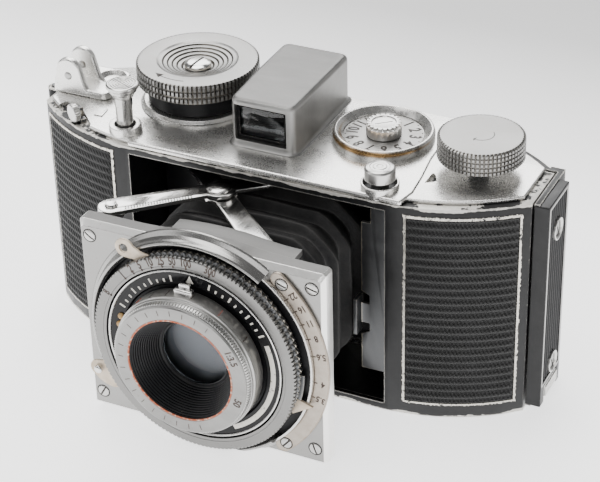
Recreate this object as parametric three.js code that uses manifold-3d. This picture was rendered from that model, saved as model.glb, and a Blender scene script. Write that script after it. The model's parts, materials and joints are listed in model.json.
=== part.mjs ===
// A strut-folding 35 mm camera: metal body, bellows, scissor struts and a lens panel
// that slides out to the front. Millimetres, +X to the right seen from the front,
// +Y to the back, +Z up. The origin is the middle of the base's underside.

import * as THREE from 'three';
import { mergeVertices } from 'three/addons/utils/BufferGeometryUtils.js';
import Module from 'manifold-3d';

const wasm = await Module();
wasm.setup();

// ---- Driving dimensions -------------------------------------------------

const GAP = 0.1; // between fixed pieces that sit against each other
const CLEARANCE = 0.3; // between pieces that move past each other

const FLAT_HALF_WIDTH = 28; // the front and back are flat out to here
const BODY_HALF_DEPTH = 19.15;
const BODY_END_X = 58.3;
const SIDE_ARC_RADIUS = 44.4;
const BODY_TOP_Z = 52.7;
const WALL = 1.3;
const DECK_UNDERSIDE_Z = 51;
const BACK_OPEN_Y = 7; // behind this the shell gives way to the back door
const DOOR_WALL = 1.3;

const WELL_HALF_WIDTH = 30.3;
const WELL_SILL_Z = 1.8;
const PARTITION = 1.2;

const PLATE_TOP_Z = 53.7;
const PLATE_FRONT_Y = -19.05;
const PLATE_INSET_RIGHT = 2;
const PLATE_INSET_LEFT = 1.2;
const ON_PLATE_Z = PLATE_TOP_Z + GAP;

const GRIP = { inner: 34.6, outer: 56.05, bottom: 3.3, top: 50.7, thickness: 0.6 };

const SHAFT_HOLE_RADIUS = 2.7;
const ADVANCE = { x: -25.25, y: 4.9, radius: 13.8, top: 64.1, head: 59.3, skirt: 11.5 };
const REWIND = { x: 43.8, y: 1, radius: 9.35, bottom: 56.5, top: 61.8 };
const COUNTER = { x: 20, y: 4.7, outer: 11.2, disc: 8.8, rim: 56.4, disc_top: 54.9, boss_top: 57.9 };
const RELEASE = { x: -33.7, y: -14, cap: 3.6, stem: 1.95, collar_top: 55.4, top: 65.3 };
const FOLD_BUTTON = { x: 27.6, y: -15, cap: 3.3, stem: 1.9, collar: 4.1, collar_top: 55.3, top: 58.9 };

const FINDER = { left: -10, right: 5.9, front: -10.8, back: 18.2, top: 65.3 };
const FINDER_WINDOW = { left: -8.3, right: 4, bottom: 55.4, top: 63.8 };

const HINGE = { x: -60.6, y: 0, radius: 1.5, pin: 0.7, bottom: 1.4, top: 52.4 };
const DOOR = { bottom: 1.3, top: 52.5, end_x: 59.8, back_y: 9.4, wall_front_y: -6.7 };
const STRIP = { inner: 59.9, outer: 62, front: -6.8, back: 5.6, bottom: 1.5, top: 52.2, screw: 1.85 };
const STRIP_SCREW_PLACES = { top: [-0.6, 44], bottom: [0.4, 9.4] };
const LATCH = { inner: 60.3, outer: 62.3, front: -4, back: 3.5, bottom: 2.5, top: 5.6 };

const LENS_X = 0.4;
const LENS_Z = 25.7;
const PANEL = { half_width: 28.3, half_height: 23.46, front: -44.5, back: -40.5, skin: 1.5 };
const SHROUD_RADIUS = 25.6;
const SHROUD_FRONT = -47.5;
const RING_FLOOR = -45.8;
const CORE_RADIUS = 20.3;
const CORE_FRONT = -49.1;
const SPEED_RING = { inner: 20.65, outer: 23.5, front: -49.6, back: -48.5 };
const LEVER_FRONT = -48.2;
const LEVER_BACK = -47.7;
const BORE_RADIUS = 10.5;
const BARREL = { radius: 16.2, front: -55, back: -49.6 };
const NAME_RING = { outer: 15.3, inner: 11.9, front: -55.6, neck: 12.2, lens: 9.1 };

const STRUT = { left_x: -25, front_y: -35.6, back_y: -4, length: 47.2, half_width: 2.9, thickness: 1 };
const STRUT_UPPER_Z = 47.2; // underside of the upper arm of the top pair
const STRUT_LOWER_Z = 46; // underside of the arm below it
const STRUT_PIN = 1.2;
const GATE = { front: -4, frame_back: -1.5, film: 8.5, bottom: 6, top: 45.4, tunnel: 20.2 };
const PICTURE_HALF_WIDTH = 18;
const PICTURE_HALF_HEIGHT = 12;
const BELLOWS = { front: -40.3, back: -4.4, half_width: 21.9, half_height: 19.4, wall: 2.4 };

const COLOURS = {
  enamel: [0x141415, 0.35, 0.2],
  aluminium: [0xb9b6b0, 0.42, 0.9],
  bright: [0xd8d6d0, 0.22, 1],
  leather: [0x1b1b1c, 0.75, 0],
  black: [0x111112, 0.4, 0.3],
  steel: [0x8d8f92, 0.35, 1],
  cloth: [0x2b2a2a, 0.9, 0],
  glass: [0x5a6468, 0.05, 0],
  scale: [0xb5a88e, 0.5, 0.6],
  brass: [0xa88a4e, 0.35, 1],
};

// ---- Shape helpers ------------------------------------------------------

function toSolid(geometry) {
  const bare = geometry.clone();
  bare.deleteAttribute('normal');
  bare.deleteAttribute('uv');
  const merged = mergeVertices(bare, 1e-4);
  return new wasm.Manifold(new wasm.Mesh({
    numProp: 3,
    vertProperties: new Float32Array(merged.attributes.position.array),
    triVerts: new Uint32Array(merged.index.array),
  }));
}

function toGeometry(solid) {
  const mesh = solid.getMesh();
  const geometry = new THREE.BufferGeometry();
  geometry.setAttribute('position', new THREE.BufferAttribute(mesh.vertProperties, 3));
  geometry.setIndex(new THREE.BufferAttribute(mesh.triVerts, 1));
  geometry.computeVertexNormals();
  return geometry;
}

function cut(base, ...tools) {
  return toGeometry(tools.reduce((solid, tool) => solid.subtract(toSolid(tool)), toSolid(base)));
}

function join(base, ...others) {
  return toGeometry(others.reduce((solid, other) => solid.add(toSolid(other)), toSolid(base)));
}

function common(base, other) {
  return toGeometry(toSolid(base).intersect(toSolid(other)));
}

function box(x0, x1, y0, y1, z0, z1) {
  const geometry = new THREE.BoxGeometry(x1 - x0, y1 - y0, z1 - z0);
  return geometry.translate((x0 + x1) / 2, (y0 + y1) / 2, (z0 + z1) / 2);
}

function drum(x, y, radius, z0, z1, segments = 24) {
  const geometry = new THREE.CylinderGeometry(radius, radius, z1 - z0, segments);
  return geometry.rotateX(Math.PI / 2).translate(x, y, (z0 + z1) / 2);
}

// A cylinder along Y.
function barrel(x, z, radius, y0, y1, segments = 24) {
  const geometry = new THREE.CylinderGeometry(radius, radius, y1 - y0, segments);
  return geometry.translate(x, (y0 + y1) / 2, z);
}

function outlinePoints(profile) {
  return profile.map(([radius, along]) => new THREE.Vector2(radius, along));
}

// A turned piece about a vertical axis; the profile is [radius, z] from the bottom up.
function turned(x, y, profile, segments = 32) {
  const geometry = new THREE.LatheGeometry(outlinePoints(profile), segments);
  return geometry.rotateX(Math.PI / 2).translate(x, y, 0);
}

// A turned piece about the lens axis; the profile is [radius, y] from the back to the front.
function lensTurned(profile, segments = 48) {
  const flipped = profile.map(([radius, y]) => [radius, -y]);
  const geometry = new THREE.LatheGeometry(outlinePoints(flipped), segments);
  return geometry.rotateX(Math.PI).translate(LENS_X, 0, LENS_Z);
}

function closed(profile) {
  return [...profile, profile[0]];
}

// A flat plate of a plan shape between two heights.
function plate(shape, z0, z1, curveSegments = 8) {
  const geometry = new THREE.ExtrudeGeometry(shape, { depth: z1 - z0, bevelEnabled: false, curveSegments });
  return geometry.translate(0, 0, z0);
}

// A flat plate of a front-view (x, z) shape between a front and a back Y.
function upright(shape, front, back, curveSegments = 8) {
  const depth = back - front;
  const geometry = new THREE.ExtrudeGeometry(shape, { depth, bevelEnabled: false, curveSegments });
  return geometry.rotateX(Math.PI / 2).translate(0, back, 0);
}

function polygon(points) {
  return new THREE.Shape(points.map(([x, y]) => new THREE.Vector2(x, y)));
}

function roundedRectangle(x0, x1, y0, y1, radius) {
  const shape = new THREE.Shape();
  shape.absarc(x1 - radius, y0 + radius, radius, -Math.PI / 2, 0, false);
  shape.absarc(x1 - radius, y1 - radius, radius, 0, Math.PI / 2, false);
  shape.absarc(x0 + radius, y1 - radius, radius, Math.PI / 2, Math.PI, false);
  shape.absarc(x0 + radius, y0 + radius, radius, Math.PI, 1.5 * Math.PI, false);
  return shape;
}

// The body's plan: flat in the middle, an arc to each end, front and back alike.
function bodyOutline(insetRight, insetLeft = insetRight) {
  const offset = SIDE_ARC_RADIUS - BODY_HALF_DEPTH;
  const side = (inset) => {
    const radius = SIDE_ARC_RADIUS - inset;
    return { radius, sweep: Math.acos((BODY_END_X - inset - FLAT_HALF_WIDTH) / radius) };
  };
  const right = side(insetRight);
  const left = side(insetLeft);
  const shape = new THREE.Shape();
  shape.absarc(FLAT_HALF_WIDTH, offset, right.radius, -Math.PI / 2, -right.sweep, false);
  shape.absarc(FLAT_HALF_WIDTH, -offset, right.radius, right.sweep, Math.PI / 2, false);
  shape.absarc(-FLAT_HALF_WIDTH, -offset, left.radius, Math.PI / 2, Math.PI - left.sweep, false);
  shape.absarc(-FLAT_HALF_WIDTH, offset, left.radius, Math.PI + left.sweep, 1.5 * Math.PI, false);
  return shape;
}

// The same piece mirrored in the horizontal plane through the lens axis.
function mirrorZ(geometry) {
  return toGeometry(toSolid(geometry).mirror([0, 0, 1])).translate(0, 0, 2 * LENS_Z);
}

// ---- The object ---------------------------------------------------------

const camera = new THREE.Group();

function add(name, geometry, colour) {
  const [color, roughness, metalness] = COLOURS[colour];
  const mesh = new THREE.Mesh(geometry, new THREE.MeshStandardMaterial({ color, roughness, metalness }));
  mesh.name = name;
  camera.add(mesh);
}

// ---- Body ---------------------------------------------------------------

const BUSH = { x: 14, y: 6, outer: 5.9, thread: 4.6, top: 5.7, depth: 5 };

function hingeKnuckle(z0, z1) {
  return drum(HINGE.x, HINGE.y, HINGE.radius, z0, z1, 20);
}

function bodyShell() {
  const block = plate(bodyOutline(0), 0, BODY_TOP_Z, 10);
  const cavity = common(
    plate(bodyOutline(WALL), WALL, DECK_UNDERSIDE_Z, 10),
    box(-BODY_END_X, BODY_END_X, -BODY_HALF_DEPTH, BODY_HALF_DEPTH, 0, BODY_TOP_Z),
  );
  const chambers = cut(cavity, box(
    -WELL_HALF_WIDTH - PARTITION, WELL_HALF_WIDTH + PARTITION,
    -BODY_HALF_DEPTH, BODY_HALF_DEPTH, 0, BODY_TOP_Z,
  ));
  const well = box(-WELL_HALF_WIDTH, WELL_HALF_WIDTH, -17.9, 30, WALL, DECK_UNDERSIDE_Z);
  const mouth = box(-WELL_HALF_WIDTH, WELL_HALF_WIDTH, -30, -17, WELL_SILL_Z, DECK_UNDERSIDE_Z);
  const filmPath = box(-40, 40, BACK_OPEN_Y + 0.5, 30, WALL, DECK_UNDERSIDE_Z);
  const doorRoom = common(
    cut(plate(bodyOutline(-2), 1, BODY_TOP_Z + 1, 10), plate(bodyOutline(DOOR_WALL + 0.4), 0, 60, 10)),
    box(-70, 70, BACK_OPEN_Y - 0.4, 30, 0, 60),
  );
  const holes = [
    drum(ADVANCE.x, ADVANCE.y, SHAFT_HOLE_RADIUS, 40, 60),
    drum(REWIND.x, REWIND.y, SHAFT_HOLE_RADIUS, 40, 60),
    drum(RELEASE.x, RELEASE.y, RELEASE.stem + CLEARANCE, 40, 60),
    drum(FOLD_BUTTON.x, FOLD_BUTTON.y, FOLD_BUTTON.stem + CLEARANCE, 40, 60),
    drum(BUSH.x, BUSH.y, BUSH.outer + GAP, -1, 3, 32),
  ];
  const hollow = cut(block, chambers, well, mouth, filmPath, doorRoom, ...holes);
  return withHingeKnuckles(hollow);
}

function withHingeKnuckles(shell) {
  const spans = [[HINGE.bottom, 13.7], [39.3, HINGE.top]];
  const solids = spans.flatMap(([z0, z1]) => [
    hingeKnuckle(z0, z1),
    box(HINGE.x, -BODY_END_X + 0.5, -1.4, -0.3, z0, z1),
  ]);
  return cut(join(shell, ...solids), drum(HINGE.x, HINGE.y, HINGE.pin + GAP, 0, 60, 16));
}

function topPlate() {
  const outline = plate(bodyOutline(PLATE_INSET_RIGHT, PLATE_INSET_LEFT), BODY_TOP_Z + GAP, PLATE_TOP_Z, 10);
  const frontStrip = box(-30, 30, PLATE_FRONT_Y, 0, BODY_TOP_Z + GAP, PLATE_TOP_Z);
  const backStrip = box(-30, 30, 0, -PLATE_FRONT_Y, BODY_TOP_Z + GAP, PLATE_TOP_Z);
  const collar = drum(ADVANCE.x, ADVANCE.y, 12.6, PLATE_TOP_Z - 0.5, 55, 40);
  const leverNotch = plate(
    polygon([[-41.4, -17.5], [-42.2, -14.6], [-46.6, -10.2], [-52.8, -7.4], [-55, -14]]),
    50, 60,
  );
  return cut(
    join(outline, frontStrip, backStrip, collar),
    leverNotch,
    drum(ADVANCE.x, ADVANCE.y, SHAFT_HOLE_RADIUS, 40, 60),
    drum(REWIND.x, REWIND.y, SHAFT_HOLE_RADIUS, 40, 60),
    drum(RELEASE.x, RELEASE.y, RELEASE.stem + CLEARANCE, 40, 60),
    drum(FOLD_BUTTON.x, FOLD_BUTTON.y, FOLD_BUTTON.stem + CLEARANCE, 40, 60),
  );
}

function grip(side) {
  const start = Math.acos((GRIP.inner - FLAT_HALF_WIDTH) / SIDE_ARC_RADIUS);
  const end = Math.acos((GRIP.outer - FLAT_HALF_WIDTH) / SIDE_ARC_RADIUS);
  const centreY = SIDE_ARC_RADIUS - BODY_HALF_DEPTH;
  const shape = new THREE.Shape();
  shape.absarc(FLAT_HALF_WIDTH, centreY, SIDE_ARC_RADIUS + GAP + GRIP.thickness, -start, -end, false);
  shape.absarc(FLAT_HALF_WIDTH, centreY, SIDE_ARC_RADIUS + GAP, -end, -start, true);
  const panel = plate(shape, GRIP.bottom, GRIP.top, 8);
  return side > 0 ? panel : toGeometry(toSolid(panel).mirror([1, 0, 0]));
}

// The gate casting: a frame behind the bellows and a tapering tunnel to the film plane.
function filmGate() {
  const halfHeight = (GATE.top - GATE.bottom) / 2;
  const frame = box(-WELL_HALF_WIDTH + CLEARANCE, WELL_HALF_WIDTH - CLEARANCE,
    GATE.front, GATE.frame_back, GATE.bottom, GATE.top);
  const tunnel = box(-GATE.tunnel, GATE.tunnel, GATE.front, GATE.film,
    LENS_Z - halfHeight + 3, LENS_Z + halfHeight - 3);
  const depth = GATE.film - GATE.front + 2;
  const frontScale = 1.3;
  const taper = new THREE.CylinderGeometry(Math.SQRT2, Math.SQRT2 * frontScale, depth, 4);
  taper.rotateY(Math.PI / 4).scale(PICTURE_HALF_WIDTH - 1, 1, PICTURE_HALF_HEIGHT - 0.7);
  taper.translate(0, (GATE.front + GATE.film) / 2, LENS_Z);
  const post = (z0, z1, radius) => drum(STRUT.left_x, STRUT.back_y, radius, z0, z1, 16);
  const upperPosts = [
    post(GATE.top - 1, STRUT_UPPER_Z + GAP, STRUT_PIN),
    post(STRUT_UPPER_Z, STRUT_UPPER_Z + 0.7, 2.2),
  ];
  return join(cut(frame, tunnel), cut(tunnel, taper), ...upperPosts, ...upperPosts.map(mirrorZ));
}

function tripodBush() {
  const body = drum(BUSH.x, BUSH.y, BUSH.outer, 0.2, BUSH.top, 32);
  return cut(body, drum(BUSH.x, BUSH.y, BUSH.thread, -1, BUSH.depth, 32));
}

add('body_shell', bodyShell(), 'enamel');
add('top_plate', topPlate(), 'aluminium');
add('grip_left', grip(-1), 'leather');
add('grip_right', grip(1), 'leather');
add('film_gate', filmGate(), 'black');
add('tripod_bush', tripodBush(), 'brass');
add('hinge_pin', drum(HINGE.x, HINGE.y, HINGE.pin, 1.2, 52.8, 16), 'steel');

// ---- Viewfinder ---------------------------------------------------------

function viewfinderHousing() {
  const shape = roundedRectangle(FINDER.left, FINDER.right, ON_PLATE_Z - 3, FINDER.top, 1.6);
  const hood = upright(shape, FINDER.front, FINDER.back, 3);
  const below = box(-20, 20, -30, 30, 40, ON_PLATE_Z);
  const window = box(FINDER_WINDOW.left, FINDER_WINDOW.right, -30, 30,
    FINDER_WINDOW.bottom, FINDER_WINDOW.top);
  return cut(hood, below, window);
}

function finderGlass(front, back) {
  return box(FINDER_WINDOW.left + GAP, FINDER_WINDOW.right - GAP, front, back,
    FINDER_WINDOW.bottom + GAP, FINDER_WINDOW.top - GAP);
}

add('viewfinder_housing', viewfinderHousing(), 'aluminium');
add('viewfinder_front_glass', finderGlass(-9.2, -8.4), 'glass');
add('viewfinder_eyepiece', finderGlass(17.2, 18.4), 'glass');

// ---- Strap yoke ---------------------------------------------------------

const YOKE = { left: -58, right: -49.6, axis_x: -53.8, top: 62.6, round: 3.2, foot_top: 55.5 };
const YOKE_EARS = [[-4.3, -2.7], [1.9, 3.5]];
const YOKE_PIN = { z: 58.4, radius: 1 };

function strapYoke() {
  const ear = new THREE.Shape();
  ear.moveTo(YOKE.left, ON_PLATE_Z);
  ear.lineTo(YOKE.right, ON_PLATE_Z);
  ear.absarc(YOKE.axis_x, YOKE.top - YOKE.round, YOKE.round, 0.1 * Math.PI, 0.9 * Math.PI, false);
  const ears = YOKE_EARS.map(([front, back]) => upright(ear, front, back, 8));
  const foot = plate(roundedRectangle(YOKE.left, -44, -4.3, 8, 2), ON_PLATE_Z, YOKE.foot_top, 3);
  const rivetHole = drum(-47.5, 4.4, 2.1, 50, 60, 16);
  const pinHole = barrel(YOKE.axis_x, YOKE_PIN.z, YOKE_PIN.radius + GAP, -10, 10, 16);
  return cut(join(foot, ...ears), rivetHole, pinHole);
}

add('strap_yoke', strapYoke(), 'aluminium');
YOKE_EARS.forEach(([front, back], i) => {
  const pin = barrel(YOKE.axis_x, YOKE_PIN.z, YOKE_PIN.radius, front - 0.3, back + 0.3, 16);
  add(['yoke_pin_front', 'yoke_pin_rear'][i], pin, 'bright');
});

// ---- Top controls -------------------------------------------------------

const ADVANCE_PROFILE = [
  [0, 47], [2.2, 47], [2.2, 55.2], [ADVANCE.skirt, 55.2], [ADVANCE.skirt, ADVANCE.head],
  [ADVANCE.radius, ADVANCE.head], [ADVANCE.radius, ADVANCE.top], [9, ADVANCE.top],
  [8, ADVANCE.top - 1], [3.5, ADVANCE.top - 1.9], [0, ADVANCE.top - 1.9],
];
const SPROCKET_PROFILE = [
  [0, 8], [3.2, 8], [3.2, 11], [4.6, 11], [4.6, 13], [3.2, 13],
  [3.2, 38.4], [4.6, 38.4], [4.6, 40.4], [3.2, 40.4], [3.2, 46.7], [0, 46.7],
];

function slotted(head, x, y, z) {
  return cut(head, box(x - 5, x + 5, y - 0.35, y + 0.35, z, z + 5));
}

function advanceScrew() {
  const low = ADVANCE.top - 1.8;
  const profile = [[0, low], [3.1, low], [3.1, low + 0.9], [2.4, low + 1.3], [0, low + 1.3]];
  return slotted(turned(ADVANCE.x, ADVANCE.y, profile, 20), ADVANCE.x, ADVANCE.y, low + 0.7);
}

function counterBezel() {
  const profile = closed([
    [COUNTER.disc + 0.15, ON_PLATE_Z], [COUNTER.outer, ON_PLATE_Z], [10.9, COUNTER.rim],
    [10.2, COUNTER.rim], [COUNTER.disc + 0.15, COUNTER.disc_top],
  ]);
  return turned(COUNTER.x, COUNTER.y, profile, 40);
}

function counterBoss() {
  const profile = [[0, 55.1], [3.9, 55.1], [3.9, 57.3], [3.2, COUNTER.boss_top], [0, COUNTER.boss_top]];
  return slotted(turned(COUNTER.x, COUNTER.y, profile, 20), COUNTER.x, COUNTER.y, 57.4);
}

function rewindFork() {
  const body = drum(REWIND.x, REWIND.y, 3.2, 45, 50.9, 20);
  return cut(body, box(REWIND.x - 5, REWIND.x + 5, REWIND.y - 0.6, REWIND.y + 0.6, 40, 48));
}

function pushButton(button, capBottom, bottom) {
  return turned(button.x, button.y, [
    [0, bottom], [button.stem, bottom], [button.stem, capBottom], [button.cap, capBottom],
    [button.cap, button.top - 0.7], [button.cap * 0.7, button.top], [0, button.top],
  ], 24);
}

function guideCollar(button, bore, outer, top) {
  const profile = closed([[bore, ON_PLATE_Z], [outer, ON_PLATE_Z], [outer, top], [bore, top]]);
  return turned(button.x, button.y, profile, 24);
}

add('advance_knob', turned(ADVANCE.x, ADVANCE.y, ADVANCE_PROFILE, 40), 'aluminium');
add('advance_knob_screw', advanceScrew(), 'steel');
add('film_sprocket', turned(ADVANCE.x, ADVANCE.y, SPROCKET_PROFILE, 16), 'steel');
add('rewind_knob', turned(REWIND.x, REWIND.y, [
  [0, 51.2], [2.2, 51.2], [2.2, REWIND.bottom], [REWIND.radius, REWIND.bottom],
  [REWIND.radius, REWIND.top - 0.5], [REWIND.radius - 0.6, REWIND.top], [0, REWIND.top],
], 40), 'aluminium');
add('rewind_fork', rewindFork(), 'steel');
add('counter_bezel', counterBezel(), 'brass');
add('counter_disc', drum(
  COUNTER.x, COUNTER.y, COUNTER.disc, ON_PLATE_Z + GAP, COUNTER.disc_top, 40,
), 'bright');
add('counter_boss', counterBoss(), 'bright');
add('release_collar', guideCollar(RELEASE, RELEASE.stem + CLEARANCE, 3.6, RELEASE.collar_top), 'aluminium');
add('release_button', pushButton(RELEASE, 62.9, 49), 'aluminium');
add('fold_button_collar', guideCollar(
  FOLD_BUTTON, FOLD_BUTTON.cap + CLEARANCE, FOLD_BUTTON.collar, FOLD_BUTTON.collar_top,
), 'aluminium');
add('fold_button', pushButton(FOLD_BUTTON, 55.7, 51.2), 'aluminium');

// The lock plate hangs below the fold button, inside the well's right side.
function lockPlate() {
  const outline = polygon([
    [25.5, 49], [25.5, 44.5], [23.3, 44.5], [23.3, 27.2], [25.2, 26.2], [25.2, 17],
    [23.3, 16], [23.3, 7], [30, 7], [30, 49],
  ]);
  const sheet = upright(outline, -15.2, -14.4);
  const tongue = box(26.2, 29, -15.2, -14.4, 48.9, 51.1);
  const neck = box(22.8, 26, -15.2, -14.4, 19, 24);
  const tab = box(22.4, 23.3, -17.6, -14.4, 17, 26);
  return join(sheet, tongue, neck, tab);
}

add('lock_plate', lockPlate(), 'steel');

const UNLOCK_DIRECTION = new THREE.Vector3(-0.855, 0.518, 0);
const UNLOCK_HEAD = { x: -46.9, y: -13.8, z: 55.1, radius: 2.1, thickness: 1.5 };
const UNLOCK_BAR = { x: -47.2, y: -12 };
const UNLOCK_POST = { x: -46.6, y: -12.2 };

function unlockLever() {
  const bar = box(-2.8, 2.8, -0.5, 0.8, BODY_TOP_Z + GAP, PLATE_TOP_Z);
  bar.rotateZ(Math.atan2(-UNLOCK_DIRECTION.y, -UNLOCK_DIRECTION.x));
  const post = box(-0.8, 0.8, -0.7, 0.7, PLATE_TOP_Z - 0.5, UNLOCK_HEAD.z + 0.8);
  post.rotateZ(Math.atan2(-UNLOCK_DIRECTION.y, -UNLOCK_DIRECTION.x));
  return join(bar.translate(UNLOCK_BAR.x, UNLOCK_BAR.y, 0), post.translate(UNLOCK_POST.x, UNLOCK_POST.y, 0));
}

function unlockHead() {
  const head = new THREE.CylinderGeometry(UNLOCK_HEAD.radius, UNLOCK_HEAD.radius, UNLOCK_HEAD.thickness, 20);
  const outward = new THREE.Vector3(-0.518, -0.855, 0);
  head.applyQuaternion(new THREE.Quaternion().setFromUnitVectors(new THREE.Vector3(0, 1, 0), outward));
  return head.translate(UNLOCK_HEAD.x, UNLOCK_HEAD.y, UNLOCK_HEAD.z);
}

add('unlock_lever', unlockLever(), 'steel');
add('unlock_lever_head', unlockHead(), 'aluminium');

// ---- Back door ----------------------------------------------------------

function backDoor() {
  const band = common(
    cut(plate(bodyOutline(0), DOOR.bottom, DOOR.top, 10), plate(bodyOutline(DOOR_WALL), 0, 60, 10)),
    box(-70, 70, BACK_OPEN_Y + 0.7, 30, 0, 60),
  );
  const corner = box(56.6, DOOR.end_x, 7.8, DOOR.back_y, DOOR.bottom, DOOR.top);
  const endWall = box(
    BODY_END_X + CLEARANCE, DOOR.end_x, DOOR.wall_front_y, DOOR.back_y, DOOR.bottom, DOOR.top,
  );
  const leftCorner = box(-59.9, -56.6, 7.8, DOOR.back_y, DOOR.bottom, DOOR.top);
  const leftWall = box(-59.9, -BODY_END_X - CLEARANCE, 1.9, DOOR.back_y, DOOR.bottom, DOOR.top);
  const knuckle = hingeKnuckle(14, 39);
  const web = box(-59.9, -BODY_END_X - 0.3, -0.3, 2.2, 14, 39);
  const door = join(band, corner, endWall, leftCorner, leftWall, knuckle, web);
  return cut(door, drum(HINGE.x, HINGE.y, HINGE.pin + GAP, 0, 60, 16));
}

// A rail on the door's end, notched at the bottom for the latch.
function endStrip() {
  const rail = box(STRIP.inner, STRIP.outer, STRIP.front, STRIP.back, STRIP.bottom, STRIP.top);
  const notch = box(
    LATCH.inner - GAP, STRIP.outer + 1, LATCH.front - GAP, LATCH.back + GAP, 0, LATCH.top + GAP,
  );
  return cut(rail, notch);
}

// The slot is cut across the head of a screw that faces +X.
function stripScrew([y, z]) {
  const head = new THREE.CylinderGeometry(STRIP.screw, STRIP.screw, 0.4, 20).rotateZ(Math.PI / 2);
  head.translate(STRIP.outer + GAP + 0.2, y, z);
  return cut(head, box(STRIP.outer + 0.3, STRIP.outer + 2, y - 0.25, y + 0.25, z - 3, z + 3));
}

function latchSlide() {
  const body = box(LATCH.inner, LATCH.outer, LATCH.front, LATCH.back, LATCH.bottom, LATCH.top);
  const grooves = [3.1, 3.9, 4.7].map((z) => box(STRIP.outer, STRIP.outer + 1, -10, 10, z, z + 0.4));
  return cut(body, ...grooves);
}

add('back_door', backDoor(), 'enamel');
add('end_strip', endStrip(), 'enamel');
add('end_strip_screw_top', stripScrew(STRIP_SCREW_PLACES.top), 'bright');
add('end_strip_screw_bottom', stripScrew(STRIP_SCREW_PLACES.bottom), 'bright');
add('pressure_plate', box(-21, 21, 10, 11.2, 8.2, 43.2), 'black');
add('latch_slide', latchSlide(), 'steel');

// ---- Lens panel ---------------------------------------------------------

function lensPanel() {
  const { half_width: w, half_height: h, front, back, skin } = PANEL;
  const tray = cut(
    box(-w, w, front, back, LENS_Z - h, LENS_Z + h),
    box(-w + 1.2, w - 1.2, front + skin, back + 1, LENS_Z - h + 1.2, LENS_Z + h - 1.2),
  );
  const flange = box(-8, 20, back - 0.5, -36.8, 47.9, LENS_Z + h);
  const hump = common(
    barrel(LENS_X, LENS_Z, 24.9, front, -37, 64),
    box(-12, 12, front, -37, LENS_Z + h - 1, 52),
  );
  const lug = box(-w, -24.6, front + 0.5, -33.5, 44.4, 45.8);
  const pin = drum(STRUT.left_x - 0.3, STRUT.front_y, 1, 44.6, STRUT_UPPER_Z + STRUT.thickness + GAP, 16);
  const head = drum(STRUT.left_x - 0.3, STRUT.front_y, 2.2, 48.3, 48.9, 20);
  const top = join(flange, lug, pin, head);
  return cut(join(tray, top, mirrorZ(top), hump), barrel(LENS_X, LENS_Z, 13.5, -60, -30, 48));
}

function panelScrew(x, z) {
  const head = barrel(x, z, 1.3, PANEL.front - 0.45, PANEL.front - GAP, 16);
  return cut(head, box(x - 3, x + 3, PANEL.front - 1, PANEL.front - 0.3, z - 0.2, z + 0.2));
}

// A piece of ring in the lens plane between two angles, seen from the front.
function ringSector(inner, outer, fromDegrees, toDegrees, front, back, curveSegments = 8) {
  const from = THREE.MathUtils.degToRad(fromDegrees);
  const to = THREE.MathUtils.degToRad(toDegrees);
  const shape = new THREE.Shape();
  shape.absarc(LENS_X, LENS_Z, outer, from, to, false);
  shape.absarc(LENS_X, LENS_Z, inner, to, from, true);
  return upright(shape, front, back, curveSegments);
}

// A tab along +X from the lens axis, turned to its angle.
function radialTab(shape, degrees, front, back, curveSegments = 5) {
  const tab = upright(shape, front, back, curveSegments);
  return tab.rotateY(-THREE.MathUtils.degToRad(degrees)).translate(LENS_X, 0, LENS_Z);
}

function shutterHousing() {
  const whole = lensTurned(closed([
    [BORE_RADIUS, -39.6], [13.2, -39.6], [13.2, PANEL.front - GAP], [SHROUD_RADIUS, PANEL.front - GAP],
    [SHROUD_RADIUS, SHROUD_FRONT], [SHROUD_RADIUS - 1, SHROUD_FRONT], [SHROUD_RADIUS - 1, RING_FLOOR],
    [CORE_RADIUS, RING_FLOOR], [CORE_RADIUS, CORE_FRONT], [BORE_RADIUS, CORE_FRONT],
  ]), 64);
  const reach = PANEL.half_height;
  const trimmed = common(whole, box(-40, 40, -60, -30, LENS_Z - reach, 60));
  return cut(trimmed, ringSector(SHROUD_RADIUS - 1.6, 30, -56, 56, -60, RING_FLOOR));
}

add('lens_panel', lensPanel(), 'aluminium');
[['upper_left', -1, 1], ['upper_right', 1, 1], ['lower_left', -1, -1], ['lower_right', 1, -1]].forEach(
  ([place, sx, sz]) => add(`panel_screw_${place}`, panelScrew(25.6 * sx, LENS_Z + 20 * sz), 'bright'),
);
add('shutter_housing', shutterHousing(), 'black');
add('aperture_scale', ringSector(25.8, 29.1, -50, 50, PANEL.front - 0.8, PANEL.front - GAP, 12), 'scale');
[['upper', 1], ['lower', -1]].forEach(([place, side]) => {
  const angle = THREE.MathUtils.degToRad(46.5);
  const x = LENS_X + 27.4 * Math.cos(angle);
  const z = LENS_Z + side * 27.4 * Math.sin(angle);
  const head = barrel(x, z, 1.2, PANEL.front - 1.2, PANEL.front - 0.9, 16);
  add(`scale_screw_${place}`, head, 'bright');
});
add('speed_ring', lensTurned(closed([
  [SPEED_RING.inner, SPEED_RING.back], [SPEED_RING.outer, SPEED_RING.back],
  [SPEED_RING.outer, SPEED_RING.front], [SPEED_RING.inner, SPEED_RING.front],
]), 64), 'bright');
add('focus_ring', lensTurned(closed([
  [12.4, BARREL.back], [BARREL.radius, BARREL.back], [BARREL.radius, -53.6],
  [15.4, -54.2], [15.4, BARREL.front], [12.4, BARREL.front],
]), 48), 'black');
add('name_ring', lensTurned(closed([
  [NAME_RING.lens, -49.8], [NAME_RING.neck, -49.8], [NAME_RING.neck, -55.1], [NAME_RING.outer, -55.1],
  [NAME_RING.outer, NAME_RING.front], [NAME_RING.inner, NAME_RING.front],
  [8.2, -51], [NAME_RING.lens, -50.9],
]), 48), 'bright');
add('front_lens', lensTurned([
  [0, -48.2], [8.9, -48.2], [8.9, -50.3], [6.2, -50.7], [3.1, -50.9], [0, -51],
], 32), 'glass');
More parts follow.
